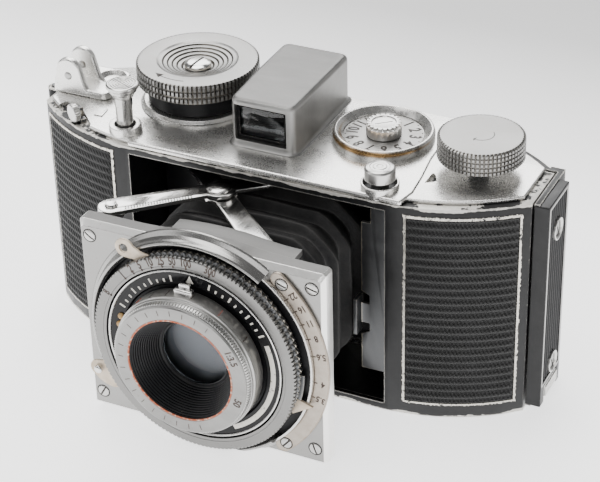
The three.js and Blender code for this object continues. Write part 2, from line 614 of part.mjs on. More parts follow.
add('rear_lens', lensTurned([
  [0, -38.9], [4.5, -39.1], [8.5, -39.7], [10.3, -39.9], [10.3, -43.4], [0, -43.4],
], 32), 'glass');
add('shutter_blades', barrel(LENS_X, LENS_Z, 10.3, -46.6, -46.2, 32), 'black');

// ---- Shutter levers -----------------------------------------------------

function cockingLever() {
  const shape = new THREE.Shape();
  shape.moveTo(21, -4.6);
  shape.lineTo(22.8, -5.2);
  shape.lineTo(24.3, -3.9);
  shape.absarc(26.6, -1.1, 2.2, -Math.PI * 0.58, Math.PI * 0.78, false);
  shape.lineTo(22.8, -1.9);
  shape.lineTo(21, -1.9);
  const hole = new THREE.Path();
  hole.absarc(26.7, -1, 0.9, 0, 2 * Math.PI, false);
  shape.holes.push(hole);
  return radialTab(shape, 128, LEVER_FRONT, LEVER_BACK);
}

function releaseLever() {
  const shape = new THREE.Shape();
  shape.moveTo(21, -2.2);
  shape.lineTo(25, -2.7);
  shape.absarc(26.6, -1, 2.1, -Math.PI * 0.64, Math.PI * 0.17, false);
  shape.lineTo(28, 1.4);
  shape.lineTo(27, 3);
  shape.lineTo(25.6, 4.1);
  shape.lineTo(23.8, 4.6);
  shape.lineTo(21, 3.6);
  const lever = radialTab(shape, -153.5, LEVER_FRONT, LEVER_BACK);
  const angle = THREE.MathUtils.degToRad(-155.8);
  const [x, z] = [LENS_X + 26.3 * Math.cos(angle), LENS_Z + 26.3 * Math.sin(angle)];
  const pin = barrel(x, z, 0.9, -49.4, LEVER_BACK, 16);
  return join(lever, pin);
}

function aperturePointer() {
  const shape = polygon([
    [20.8, -4.7], [23.1, -4.7], [27, -0.6], [24, -0.2], [24, 6.4], [20.8, 6.4],
  ]);
  return radialTab(shape, -15, -46.8, -46.2);
}

add('cocking_lever', cockingLever(), 'steel');
add('shutter_release_lever', releaseLever(), 'steel');
add('aperture_pointer', aperturePointer(), 'steel');

// ---- Bellows and struts -------------------------------------------------

function bellows() {
  const { half_width: w, half_height: h, wall } = BELLOWS;
  const tube = box(-w, w, BELLOWS.front, BELLOWS.back, LENS_Z - h, LENS_Z + h);
  return cut(tube, box(-w + wall, w - wall, -50, 0, LENS_Z - h + wall, LENS_Z + h - wall));
}

const STRUT_ANGLE = Math.asin((STRUT.back_y - STRUT.front_y) / STRUT.length);
const RIVET = { shank: 0.9, hole: 2, head: 2.9 };

// A strip with round ends from the pivot at the origin, widened round its middle rivet.
function strutShape(pinHole, middleRadius, middleHole) {
  const { length, half_width: r } = STRUT;
  const middle = length / 2;
  const flank = Math.sqrt(middleRadius ** 2 - r ** 2);
  const corner = Math.acos(flank / middleRadius);
  const shape = new THREE.Shape();
  shape.absarc(0, 0, r, Math.PI / 2, 1.5 * Math.PI, false);
  shape.absarc(middle, 0, middleRadius, Math.PI + corner, 2 * Math.PI - corner, false);
  shape.absarc(length, 0, r, -Math.PI / 2, Math.PI / 2, false);
  shape.absarc(middle, 0, middleRadius, corner, Math.PI - corner, false);
  [[0, pinHole], [middle, middleHole]].filter(([, radius]) => radius > 0).forEach(([x, radius]) => {
    const hole = new THREE.Path();
    hole.absarc(x, 0, radius, 0, 2 * Math.PI, false);
    shape.holes.push(hole);
  });
  return shape;
}

// The upper arm turns on the lens panel and carries the rivet that joins the pair.
function strutArmFront() {
  const middle = STRUT.length / 2;
  const top = STRUT_UPPER_Z + STRUT.thickness;
  const strip = plate(strutShape(STRUT_PIN + CLEARANCE, 3.85, 0), STRUT_UPPER_Z, top, 5);
  const rivet = turned(middle, 0, [
    [0, STRUT_LOWER_Z - 0.5], [RIVET.shank, STRUT_LOWER_Z - 0.5], [RIVET.shank, top - 0.5],
    [RIVET.head, top - 0.1], [RIVET.head, top + 0.3], [1.6, top + 0.8], [0, top + 0.8],
  ], 20);
  return join(strip, rivet).rotateZ(STRUT_ANGLE).translate(STRUT.left_x - 0.3, STRUT.front_y, 0);
}

// The arm below it turns on the body; its middle hole is large enough for the rivet to float.
function strutArmBack() {
  const shape = strutShape(STRUT_PIN + CLEARANCE, 3.85, RIVET.hole);
  const strip = plate(shape, STRUT_LOWER_Z, STRUT_LOWER_Z + STRUT.thickness, 5);
  return strip.rotateZ(-STRUT_ANGLE).translate(STRUT.left_x, STRUT.back_y, 0);
}

add('bellows', bellows(), 'cloth');
add('upper_strut_front', strutArmFront(), 'bright');
add('upper_strut_back', strutArmBack(), 'bright');
add('lower_strut_front', mirrorZ(strutArmFront()), 'bright');
add('lower_strut_back', mirrorZ(strutArmBack()), 'bright');

export default camera;
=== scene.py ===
"""Looks for a strut-folding 35 mm camera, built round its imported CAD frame.

Sizes in the functions are millimetres in the frame's axes: +X right, +Y to the back, +Z up.
"""

import bmesh
import bpy
import json
import math
import random
from mathutils import Matrix, Vector


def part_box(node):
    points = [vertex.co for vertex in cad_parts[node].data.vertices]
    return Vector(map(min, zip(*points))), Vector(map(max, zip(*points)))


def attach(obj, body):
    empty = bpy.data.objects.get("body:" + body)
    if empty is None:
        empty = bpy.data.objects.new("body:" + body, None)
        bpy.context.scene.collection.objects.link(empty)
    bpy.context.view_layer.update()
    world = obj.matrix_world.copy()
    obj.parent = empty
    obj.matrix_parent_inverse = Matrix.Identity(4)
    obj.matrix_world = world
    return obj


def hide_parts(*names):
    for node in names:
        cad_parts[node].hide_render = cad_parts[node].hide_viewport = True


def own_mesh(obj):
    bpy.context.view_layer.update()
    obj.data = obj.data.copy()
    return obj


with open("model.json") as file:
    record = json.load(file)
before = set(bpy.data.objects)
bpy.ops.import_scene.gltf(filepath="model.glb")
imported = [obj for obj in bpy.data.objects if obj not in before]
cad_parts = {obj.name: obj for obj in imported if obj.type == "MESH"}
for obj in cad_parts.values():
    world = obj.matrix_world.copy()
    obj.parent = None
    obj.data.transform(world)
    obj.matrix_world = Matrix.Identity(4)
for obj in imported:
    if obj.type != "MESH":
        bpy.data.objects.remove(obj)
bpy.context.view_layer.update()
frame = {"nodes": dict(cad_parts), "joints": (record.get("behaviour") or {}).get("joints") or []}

MM = 0.001
TAU = 2 * math.pi
random.seed(7)


# ---- Places read from the frame ------------------------------------------

class Place:
    """A CAD node's box in millimetres."""

    def __init__(self, node):
        low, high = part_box(node)
        self.x0, self.y0, self.z0 = (c / MM for c in low)
        self.x1, self.y1, self.z1 = (c / MM for c in high)
        self.cx = (self.x0 + self.x1) / 2
        self.cy = (self.y0 + self.y1) / 2
        self.cz = (self.z0 + self.z1) / 2
        self.radius = (self.x1 - self.x0) / 2


SHELL = Place("body_shell")
PLATE = Place("top_plate")
PANEL = Place("lens_panel")
SPEEDS = Place("speed_ring")
LX = SPEEDS.cx
LZ = SPEEDS.cz
PANEL_LOW = PANEL.z0
PANEL_TOP = 2 * LZ - PANEL_LOW
SIDE_ARC = 44.4
FLAT_X = 28.0
ARC_Y = SIDE_ARC + SHELL.y0


# ---- Mesh helpers --------------------------------------------------------

def upright_at(cx, cy):
    """Turns about a vertical axis through (cx, cy); h is the height."""
    return lambda r, h, a: (cx + r * math.cos(a), cy + r * math.sin(a), h)


def on_lens(r, h, a):
    """Turns about the lens axis; h is Y and a runs counter-clockwise seen from the front."""
    return (LX + r * math.cos(a), h, LZ + r * math.sin(a))


def flat(u, v, w):
    """Keeps a point as it is."""
    return (u, v, w)


def facing_front(u, v, w):
    """u to the right, v up, w towards the front."""
    return (u, -w, v)


def on_lens_face(u, v, w):
    """u to the right of the lens axis, v above it and w towards the front."""
    return (LX + u, -w, LZ + v)


def make_object(name, bm, smooth_angle=35, weld=1e-4):
    """Turns a bmesh in millimetres into an object in metres."""
    bmesh.ops.remove_doubles(bm, verts=bm.verts, dist=weld)
    bmesh.ops.recalc_face_normals(bm, faces=bm.faces)
    bmesh.ops.scale(bm, vec=(MM, MM, MM), verts=bm.verts)
    mesh = bpy.data.meshes.new(name)
    bm.to_mesh(mesh)
    bm.free()
    mesh.polygons.foreach_set("use_smooth", [True] * len(mesh.polygons))
    mesh.set_sharp_from_angle(angle=math.radians(smooth_angle))
    obj = bpy.data.objects.new(name, mesh)
    bpy.context.scene.collection.objects.link(obj)
    return obj


def softened(points, radius, loop=False, steps=3):
    """The polyline with each corner replaced by a short curve."""
    count = len(points)
    result = []
    for i, point in enumerate(points):
        if not loop and i in (0, count - 1):
            result.append(tuple(point))
            continue
        here = Vector(point)
        before = Vector(points[i - 1])
        after = Vector(points[(i + 1) % count])
        flat_here = here.xy
        cut = min(radius, 0.45 * (before.xy - flat_here).length, 0.45 * (after.xy - flat_here).length)
        start = here.lerp(before, cut / max((before.xy - flat_here).length, 1e-9))
        end = here.lerp(after, cut / max((after.xy - flat_here).length, 1e-9))
        for step in range(steps + 1):
            t = step / steps
            result.append(tuple(start * (1 - t) ** 2 + here * (2 * t * (1 - t)) + end * t * t))
    return result


def smooth_angles(count):
    """Evenly spaced angles for a round ring, with no tooth depth."""
    return [(TAU * i / count, 0.0) for i in range(count)]


def toothed_angles(teeth, pattern=((0.04, 1.0), (0.24, 0.0), (0.76, 0.0), (0.96, 1.0))):
    """Angles with a groove level: 1 in a groove, 0 on a tooth."""
    return [(TAU * (k + phase) / teeth, level) for k in range(teeth) for phase, level in pattern]


def lathe(name, profile, place, angles=None, soft=0.15, loop=False, smooth_angle=35):
    """A turned piece. A profile point is (r, h) or (r, h, groove depth at that point)."""
    angles = angles or smooth_angles(144)
    points = [(*p, 0.0) if len(p) == 2 else tuple(p) for p in profile]
    points = softened(points, soft, loop) if soft > 0 else points
    bm = bmesh.new()
    rings = []
    for r, h, groove in points:
        if r < 1e-6:
            rings.append([bm.verts.new(place(0, h, 0))] * len(angles))
            continue
        rings.append([bm.verts.new(place(r - groove * level, h, a)) for a, level in angles])
    pairs = list(zip(rings, rings[1:])) + ([(rings[-1], rings[0])] if loop else [])
    for low, high in pairs:
        for i in range(len(angles)):
            j = (i + 1) % len(angles)
            corners = [low[i], low[j], high[j], high[i]]
            unique = [v for n, v in enumerate(corners) if v not in corners[:n]]
            if len(unique) > 2:
                bm.faces.new(unique)
    return make_object(name, bm, smooth_angle)


def slab(name, outlines, low, high, place=flat, bevel=0.15, rounds=2, smooth_angle=35):
    """A flat piece from closed outlines, holes among them, with rounded edges."""
    curve = bpy.data.curves.new(name, "CURVE")
    curve.dimensions = "2D"
    curve.fill_mode = "BOTH"
    for outline in outlines:
        spline = curve.splines.new("POLY")
        spline.points.add(len(outline) - 1)
        for point, (u, v) in zip(spline.points, outline):
            point.co = (u, v, 0, 1)
        spline.use_cyclic_u = True
    half = (high - low) / 2
    bevel = min(bevel, half * 0.9)
    curve.extrude = half - bevel
    curve.bevel_depth = bevel
    curve.bevel_resolution = rounds
    curve.offset = -bevel
    helper = bpy.data.objects.new(name + "_outline", curve)
    bpy.context.scene.collection.objects.link(helper)
    bpy.context.view_layer.update()
    mesh = bpy.data.meshes.new_from_object(helper.evaluated_get(bpy.context.evaluated_depsgraph_get()))
    bm = bmesh.new()
    bm.from_mesh(mesh)
    bpy.data.objects.remove(helper)
    bpy.data.meshes.remove(mesh)
    middle = (low + high) / 2
    for vertex in bm.verts:
        vertex.co = place(vertex.co.x, vertex.co.y, vertex.co.z + middle)
    return make_object(name, bm, smooth_angle, weld=2e-4)


def arc_points(cx, cy, radius, start, end, steps=24):
    """Points on an arc; the angles are degrees."""
    result = []
    for i in range(steps + 1):
        a = math.radians(start + (end - start) * i / steps)
        result.append((cx + radius * math.cos(a), cy + radius * math.sin(a)))
    return result


def circle_points(cx, cy, radius, steps=48):
    """A closed circle."""
    return arc_points(cx, cy, radius, 0, 360, steps)[:-1]


def rounded_rectangle(x0, x1, y0, y1, radius, steps=6):
    """A closed rectangle with rounded corners."""
    return (
        arc_points(x1 - radius, y0 + radius, radius, -90, 0, steps)
        + arc_points(x1 - radius, y1 - radius, radius, 0, 90, steps)
        + arc_points(x0 + radius, y1 - radius, radius, 90, 180, steps)
        + arc_points(x0 + radius, y0 + radius, radius, 180, 270, steps)
    )


def block(name, x0, x1, y0, y1, z0, z1, bevel=0.2, segments=3):
    """A box with rounded edges."""
    bm = bmesh.new()
    bmesh.ops.create_cube(bm, size=1)
    for vertex in bm.verts:
        vertex.co = (
            (x0 + x1) / 2 + vertex.co.x * (x1 - x0),
            (y0 + y1) / 2 + vertex.co.y * (y1 - y0),
            (z0 + z1) / 2 + vertex.co.z * (z1 - z0),
        )
    bmesh.ops.bevel(bm, geom=bm.edges, offset=bevel, segments=segments, affect="EDGES", profile=0.5)
    return make_object(name, bm, 40)


def joined(name, objects):
    """One object from several, keeping each one's material."""
    bm = bmesh.new()
    materials = []
    for obj in objects:
        start = len(bm.faces)
        bm.from_mesh(obj.data)
        bm.faces.ensure_lookup_table()
        for material in obj.data.materials:
            if material not in materials:
                materials.append(material)
        index = materials.index(obj.data.materials[0]) if obj.data.materials else 0
        for face in bm.faces[start:]:
            face.material_index = index
    mesh = bpy.data.meshes.new(name)
    bm.to_mesh(mesh)
    bm.free()
    for material in materials:
        mesh.materials.append(material)
    for obj in objects:
        bpy.data.objects.remove(obj)
    result = bpy.data.objects.new(name, mesh)
    bpy.context.scene.collection.objects.link(result)
    return result


def carve(obj, *tools):
    """Cuts each tool out of obj and deletes the tools."""
    for tool in tools:
        modifier = obj.modifiers.new("cut", "BOOLEAN")
        modifier.operation = "DIFFERENCE"
        modifier.solver = "EXACT"
        modifier.object = tool
        bpy.context.view_layer.update()
        mesh = bpy.data.meshes.new_from_object(obj.evaluated_get(bpy.context.evaluated_depsgraph_get()))
        obj.modifiers.clear()
        old = obj.data
        obj.data = mesh
        bpy.data.meshes.remove(old)
        bpy.data.objects.remove(tool)
    obj.data.polygons.foreach_set("use_smooth", [True] * len(obj.data.polygons))
    obj.data.set_sharp_from_angle(angle=math.radians(35))
    return obj


def digits_mesh(text, height):
    """A numeral's flat mesh, centred on its middle, as a bmesh in millimetres."""
    curve = bpy.data.curves.new("numeral", "FONT")
    curve.body = text
    curve.size = height * 1.35
    curve.align_x = "CENTER"
    curve.align_y = "CENTER"
    curve.extrude = 0.02
    curve.offset = 0.032 * height
    curve.resolution_u = 3
    helper = bpy.data.objects.new("numeral", curve)
    bpy.context.scene.collection.objects.link(helper)
    bpy.context.view_layer.update()
    mesh = bpy.data.meshes.new_from_object(helper.evaluated_get(bpy.context.evaluated_depsgraph_get()))
    bm = bmesh.new()
    bm.from_mesh(mesh)
    bpy.data.objects.remove(helper)
    bpy.data.meshes.remove(mesh)
    return bm


def lettered(name, marks, place, level, narrow=0.85):
    """Numerals round a circle. A mark is (text, radius, degrees, height, turn in degrees)."""
    total = bmesh.new()
    for text, radius, degrees, height, turn in marks:
        bm = digits_mesh(text, height)
        matrix = (
            Matrix.Rotation(math.radians(degrees), 4, "Z")
            @ Matrix.Translation((radius, 0, 0))
            @ Matrix.Rotation(math.radians(turn), 4, "Z")
            @ Matrix.Scale(narrow, 4, Vector((1, 0, 0)))
        )
        bm.transform(matrix)
        scratch = bpy.data.meshes.new("scratch")
        bm.to_mesh(scratch)
        bm.free()
        total.from_mesh(scratch)
        bpy.data.meshes.remove(scratch)
    for vertex in total.verts:
        vertex.co = place(vertex.co.x, vertex.co.y, vertex.co.z + level)
    return make_object(name, total, 30, weld=1e-5)


def bars(name, strips, place, level, thickness=0.04):
    """Short straight marks round a circle: (radius from, radius to, degrees, width)."""
    bm = bmesh.new()
    for inner, outer, degrees, width in strips:
        a = math.radians(degrees)
        along = Vector((math.cos(a), math.sin(a)))
        across = Vector((-along.y, along.x)) * width / 2
        corners = [along * inner - across, along * outer - across, along * outer + across,
                   along * inner + across]
        low = [bm.verts.new(place(c.x, c.y, level - thickness)) for c in corners]
        high = [bm.verts.new(place(c.x, c.y, level)) for c in corners]
        bm.faces.new(low[::-1])
        bm.faces.new(high)
        for i in range(4):
            j = (i + 1) % 4
            bm.faces.new([low[i], low[j], high[j], high[i]])
    return make_object(name, bm, 30, weld=1e-6)


def finish_piece(obj, body, slot, material, *nodes):
    """Gives a piece its material and body, and hides the CAD nodes that it stands for; slot is not used."""
    if material is not None:
        obj.data.materials.clear()
        obj.data.materials.append(material)
    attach(obj, body)
    if nodes:
        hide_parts(*nodes)
    return obj


# ---- Material helpers ----------------------------------------------------

class Nodes:
    """A material under construction, with short calls for its nodes."""

    def __init__(self, name):
        self.material = bpy.data.materials.new(name)
        self.material.use_nodes = True
        self.tree = self.material.node_tree
        self.shader = self.tree.nodes["Principled BSDF"]
        self.coords = self.add("ShaderNodeTexCoord").outputs["Object"]

    def add(self, kind, **values):
        node = self.tree.nodes.new(kind)
        for key, value in values.items():
            setattr(node, key, value)
        return node

    def link(self, source, target):
        self.tree.links.new(source, target)

    def stretched(self, scale):
        mapping = self.add("ShaderNodeMapping")
        mapping.inputs["Scale"].default_value = scale
        self.link(self.coords, mapping.inputs["Vector"])
        return mapping.outputs["Vector"]

    def noise(self, scale, detail=4.0, roughness=0.55, vector=None):
        """Noise with features of about 1/scale metres."""
        node = self.add("ShaderNodeTexNoise")
        node.inputs["Scale"].default_value = scale
        node.inputs["Detail"].default_value = detail
        node.inputs["Roughness"].default_value = roughness
        self.link(vector or self.coords, node.inputs["Vector"])
        return node.outputs["Fac"]

    def ramp(self, source, stops):
        node = self.add("ShaderNodeValToRGB")
        elements = node.color_ramp.elements
        while len(elements) < len(stops):
            elements.new(0.5)
        for element, (position, value) in zip(elements, stops):
            element.position = position
            element.color = (*value, 1) if isinstance(value, tuple) else (value, value, value, 1)
        self.link(source, node.inputs["Fac"])
        return node.outputs["Color"]

    def math(self, operation, a, b=0.0, clamp=False):
        node = self.add("ShaderNodeMath", operation=operation, use_clamp=clamp)
        for socket, value in zip(node.inputs, (a, b)):
            if isinstance(value, (int, float)):
                socket.default_value = value
            else:
                self.link(value, socket)
        return node.outputs[0]

    def mix(self, factor, a, b):
        """Mixes two colours or links."""
        node = self.add("ShaderNodeMix", data_type="RGBA")
        for socket, value in ((node.inputs[0], factor), (node.inputs[6], a), (node.inputs[7], b)):
            if isinstance(value, (int, float)):
                socket.default_value = value
            elif isinstance(value, tuple):
                socket.default_value = (*value, 1)
            else:
                self.link(value, socket)
        return node.outputs[2]

    def set(self, **values):
        for key, value in values.items():
            socket = self.shader.inputs[key.replace("_", " ")]
            if isinstance(value, tuple):
                socket.default_value = (*value, 1)
            elif isinstance(value, (int, float)):
                socket.default_value = value
            else:
                self.link(value, socket)

    def bump(self, height, distance, strength=1.0):
        node = self.add("ShaderNodeBump")
        node.inputs["Strength"].default_value = strength
        node.inputs["Distance"].default_value = distance
        self.link(height, node.inputs["Height"])
        self.link(node.outputs["Normal"], self.shader.inputs["Normal"])

    def edges(self, radius):
        """About 0 on flat faces, rising on edges within the radius in metres."""
        bevel = self.add("ShaderNodeBevel", samples=6)
        bevel.inputs["Radius"].default_value = radius
        geometry = self.add("ShaderNodeNewGeometry")
        dot = self.add("ShaderNodeVectorMath", operation="DOT_PRODUCT")
        self.link(bevel.outputs["Normal"], dot.inputs[0])
        self.link(geometry.outputs["True Normal"], dot.inputs[1])
        return self.math("SUBTRACT", 1.0, dot.outputs["Value"])

    def distance_from(self, centre, flatten):
        """Distance from a turning axis through a point, for turned rings."""
        shift = self.add("ShaderNodeVectorMath", operation="SUBTRACT")
        self.link(self.coords, shift.inputs[0])
        shift.inputs[1].default_value = centre
        squash = self.add("ShaderNodeVectorMath", operation="MULTIPLY")
        self.link(shift.outputs[0], squash.inputs[0])
        squash.inputs[1].default_value = flatten
        length = self.add("ShaderNodeVectorMath", operation="LENGTH")
        self.link(squash.outputs[0], length.inputs[0])
        return length.outputs["Value"]


def worn_enamel(name, rim=0.0006, amount=0.5, bands=()):
    """Black enamel with ragged bright wear on its edges, and level bands (z, half height) of wear."""
    n = Nodes(name)
    ragged = n.noise(900, 6, 0.65)
    edge = n.edges(rim)
    worn = n.math("ADD", n.math("MULTIPLY", edge, 2.4), n.math("MULTIPLY", ragged, amount))
    if bands:
        parts = n.add("ShaderNodeSeparateXYZ")
        n.link(n.coords, parts.inputs[0])
    for level, half in bands:
        away = n.math("ABSOLUTE", n.math("SUBTRACT", parts.outputs["Z"], level))
        nearness = n.math("SUBTRACT", 1.0, n.math("DIVIDE", away, half), True)
        patches = n.ramp(n.noise(150, 4, 0.6), [(0.38, 0.15), (0.62, 1.0)])
        worn = n.math("ADD", worn, n.math("MULTIPLY", n.math("MULTIPLY", nearness, patches), 0.8))
    mask = n.ramp(worn, [(0.62, 0.0), (0.66, 1.0)])
    dust = n.noise(160, 5, 0.7)
    black = n.mix(n.ramp(dust, [(0.35, 0.0), (0.8, 1.0)]), (0.005, 0.005, 0.0055), (0.015, 0.015, 0.016))
    bright = n.mix(n.noise(1400), (0.50, 0.48, 0.44), (0.74, 0.72, 0.68))
    n.set(Base_Color=n.mix(mask, black, bright), Metallic=n.math("MULTIPLY", mask, 0.6))
    n.set(Roughness=n.mix(mask, n.ramp(n.noise(500), [(0.3, 0.28), (0.75, 0.42)]), (0.45, 0.45, 0.45)),
          Specular_IOR_Level=0.3)
    n.bump(n.math("ADD", n.math("MULTIPLY", mask, -0.6), n.math("MULTIPLY", n.noise(2500, 2), 0.15)),
           0.00004)
    return n.material


def satin_aluminium(name, tone=0.62, rough=(0.30, 0.46), grain=0.00003, dark=0.75, metal=0.9):
    """Blasted aluminium with a fine grain, faint smears and paler edges."""
    n = Nodes(name)
    smears = n.noise(1, 5, 0.6, n.stretched((70, 160, 110)))
    fine = n.noise(3200, 2, 0.5)
    low = (tone * dark, tone * dark * 0.985, tone * dark * 0.955)
    high = (tone, tone * 0.99, tone * 0.965)
    base = n.mix(n.ramp(smears, [(0.3, 0.0), (0.7, 1.0)]), low, high)
    edge = n.ramp(n.edges(0.0004), [(0.02, 0.0), (0.12, 1.0)])
    pale = (min(tone * 1.3, 0.92), min(tone * 1.29, 0.91), min(tone * 1.26, 0.89))
    pits = n.ramp(n.noise(1500, 3, 0.6), [(0.68, 0.0), (0.74, 0.6)])
    worn = n.mix(n.math("MULTIPLY", edge, 0.8), base, pale)
    n.set(Base_Color=n.mix(pits, worn, (tone * 0.55, tone * 0.5, tone * 0.43)), Metallic=metal)
    speckle = n.ramp(n.math("ADD", n.math("MULTIPLY", fine, 0.4), n.math("MULTIPLY", smears, 0.6)),
                     [(0.3, rough[0]), (0.7, rough[1])])
    n.set(Roughness=speckle)
    n.bump(fine, grain, 0.8)
    return n.material


def turned_metal(name, centre, flatten, tone=0.68, pitch=0.00035, depth=0.00002, rough=(0.22, 0.34),
                 reach=0.0):
    """Aluminium with fine turning rings about an axis and patches of grime; with reach, its upright faces
    sunk inside that radius are darker brown.
    """
    n = Nodes(name)
    distance = n.distance_from(centre, flatten)
    rings = n.math("SINE", n.math("MULTIPLY", distance, TAU / pitch))
    uneven = n.noise(120, 4, 0.6)
    grime = n.ramp(n.noise(600, 5, 0.65), [(0.55, 0.0), (0.8, 1.0)])
    base = n.mix(n.ramp(uneven, [(0.3, 0.0), (0.7, 1.0)]),
                 (tone * 0.92, tone * 0.91, tone * 0.89), (tone, tone * 0.985, tone * 0.955))
    colour = n.mix(n.math("MULTIPLY", grime, 0.3), base, (0.24, 0.2, 0.15))
    # With reach, upright faces sunk inside it are darker brown: the grooves and the steps of a dish.
    if reach:
        inward = n.math("SUBTRACT", reach, distance)
        below = n.ramp(n.math("MULTIPLY", inward, 1600.0), [(0.25, 0.0), (0.7, 1.0)])
        sides = n.add("ShaderNodeSeparateXYZ")
        n.link(n.add("ShaderNodeNewGeometry").outputs["True Normal"], sides.inputs[0])
        upright = n.ramp(n.math("ABSOLUTE", sides.outputs["Z"]), [(0.75, 1.0), (0.9, 0.0)])
        colour = n.mix(n.math("MULTIPLY", n.math("MULTIPLY", below, upright), 0.75), colour,
                       (0.10, 0.085, 0.065))
    n.set(Base_Color=colour, Metallic=0.95)
    n.set(Roughness=n.ramp(uneven, [(0.3, rough[0]), (0.7, rough[1])]))
    n.bump(n.math("ADD", rings, n.math("MULTIPLY", n.noise(2600, 2), 0.8)), depth, 0.7)
    return n.material


def polished_steel(name, tone=0.72, rough=(0.12, 0.26), stain=0.35):
    """Plated steel with long fine scratches and small stains."""
    n = Nodes(name)
    scratches = n.noise(1, 3, 0.7, n.stretched((2600, 240, 900)))
    stains = n.ramp(n.noise(420, 6, 0.7), [(0.6, 0.0), (0.76, 1.0)])
    base = n.mix(scratches, (tone * 0.9, tone * 0.89, tone * 0.87), (tone, tone * 0.99, tone * 0.97))
    n.set(Base_Color=n.mix(n.math("MULTIPLY", stains, stain), base, (0.28, 0.22, 0.15)), Metallic=1.0)
    n.set(Roughness=n.ramp(scratches, [(0.3, rough[0]), (0.75, rough[1])]))
    n.bump(scratches, 0.000004, 0.5)
    return n.material


def dark_steel(name, tone=0.12):
    """Dark steel with worn, paler edges."""
    n = Nodes(name)
    patch = n.noise(260, 6, 0.65)
    edge = n.ramp(n.math("ADD", n.math("MULTIPLY", n.edges(0.0004), 1.6),
                         n.math("MULTIPLY", n.noise(900), 0.4)),
                  [(0.42, 0.0), (0.55, 1.0)])
    base = n.mix(patch, (tone * 0.7, tone * 0.72, tone * 0.75), (tone * 1.3, tone * 1.32, tone * 1.35))
    n.set(Base_Color=n.mix(edge, base, (0.62, 0.56, 0.46)), Metallic=0.85)
    n.set(Roughness=n.ramp(patch, [(0.3, 0.32), (0.7, 0.5)]))
    n.bump(n.noise(1800, 3), 0.00003, 0.6)
    return n.material


def leatherette(name, ribs=None):
    """Dark ribbed leatherette with a fine diagonal cord; ribs is (lowest z, height, count) in metres, and
    with it the rib tops get painted highlight and the grooves painted shade.
    """
    n = Nodes(name)
    cords = []
    for direction in ((1, 0.3, 0.9), (-1, 0.3, 0.9)):
        dot = n.add("ShaderNodeVectorMath", operation="DOT_PRODUCT")
        n.link(n.coords, dot.inputs[0])
        dot.inputs[1].default_value = direction
        cords.append(n.math("SINE", n.math("MULTIPLY", dot.outputs["Value"], TAU / 0.00085)))
    weave = n.math("ADD", n.math("MULTIPLY", cords[0], 0.7), n.math("MULTIPLY", cords[1], 0.15))
    fibres = n.noise(2600, 3, 0.6)
    relief = n.math("ADD", weave, fibres)
    shade = n.math("ADD", n.math("MULTIPLY", relief, 0.2), 0.3)
    if ribs:
        parts = n.add("ShaderNodeSeparateXYZ")
        n.link(n.coords, parts.inputs[0])
        # Painted highlight on the rib tops and painted shade in the grooves, in step with the ribs' relief.
        turns = n.math("MULTIPLY", n.math("SUBTRACT", parts.outputs["Z"], ribs[0]), TAU * ribs[2] / ribs[1])
        shade = n.math("ADD", shade, n.math("MULTIPLY", n.math("COSINE", turns), 0.22))
    tone = n.ramp(shade, [(0.1, 0.001), (0.8, 0.030)])
    worn = n.ramp(n.noise(130, 4), [(0.45, 0.0), (0.8, 0.25)])
    n.set(Base_Color=n.mix(worn, tone, (0.04, 0.04, 0.042)))
    n.set(Roughness=n.ramp(fibres, [(0.3, 0.42), (0.7, 0.6)]), Specular_IOR_Level=0.3)
    n.bump(relief, 0.00009, 0.9)
    return n.material


def gloss_black(name, rough=(0.10, 0.2), rim=0.0004):
    """Black lacquer with scratches and a few bright chips on its rim."""
    n = Nodes(name)
    scratches = n.noise(1, 4, 0.7, n.stretched((1500, 300, 900)))
    chips = n.math("ADD", n.math("MULTIPLY", n.edges(rim), 1.5), n.math("MULTIPLY", n.noise(1100, 5), 0.55))
    mask = n.ramp(chips, [(0.52, 0.0), (0.56, 1.0)])
    base = n.mix(mask, (0.006, 0.006, 0.007), (0.55, 0.5, 0.42))
    n.set(Base_Color=base, Metallic=n.math("MULTIPLY", mask, 0.9))
    n.set(Roughness=n.ramp(scratches, [(0.35, rough[0]), (0.8, rough[1])]))
    n.set(Specular_IOR_Level=0.22)
    n.bump(n.noise(1600, 3), 0.00001, 0.4)
    return n.material


def bellows_cloth(name):
    """Dusty black cloth with paler edges."""
    n = Nodes(name)
    dust = n.noise(190, 6, 0.7)
    pores = n.add("ShaderNodeTexVoronoi")
    pores.inputs["Scale"].default_value = 2200
    n.link(n.coords, pores.inputs["Vector"])
    edge = n.ramp(n.edges(0.0007), [(0.02, 0.0), (0.25, 1.0)])
    base = n.mix(n.ramp(dust, [(0.3, 0.0), (0.75, 1.0)]), (0.010, 0.010, 0.011), (0.040, 0.039, 0.038))
    n.set(Base_Color=n.mix(n.math("MULTIPLY", edge, 0.35), base, (0.16, 0.155, 0.15)))
    n.set(Roughness=n.ramp(dust, [(0.3, 0.62), (0.7, 0.88)]), Specular_IOR_Level=0.25)
    n.bump(n.math("ADD", pores.outputs["Distance"], n.noise(900, 4)), 0.00008, 0.7)
    return n.material


def clear_glass(name, tint=(0.86, 0.9, 0.92)):
    """Clear glass with faint dust."""
    n = Nodes(name)
    dust = n.noise(500, 5, 0.7)
    n.set(Base_Color=n.mix(n.ramp(dust, [(0.5, 0.0), (0.9, 1.0)]), tint, (0.7, 0.74, 0.76)))
    n.set(Roughness=n.ramp(dust, [(0.4, 0.01), (0.85, 0.09)]))
    n.set(Transmission_Weight=1.0, IOR=1.5)
    return n.material


def paint(name, colour, rough=0.45, other=None, speck=1300):
    """Filled engraving: paint with a little loss."""
    n = Nodes(name)
    other = other or tuple(min(c * 1.8 + 0.015, 1.0) for c in colour)
    flecks = n.ramp(n.noise(speck, 4, 0.6), [(0.52, 0.0), (0.68, 1.0)])
    n.set(Base_Color=n.mix(flecks, colour, other))
    n.set(Roughness=n.ramp(n.noise(700), [(0.3, rough), (0.7, min(rough + 0.2, 1.0))]))
    return n.material


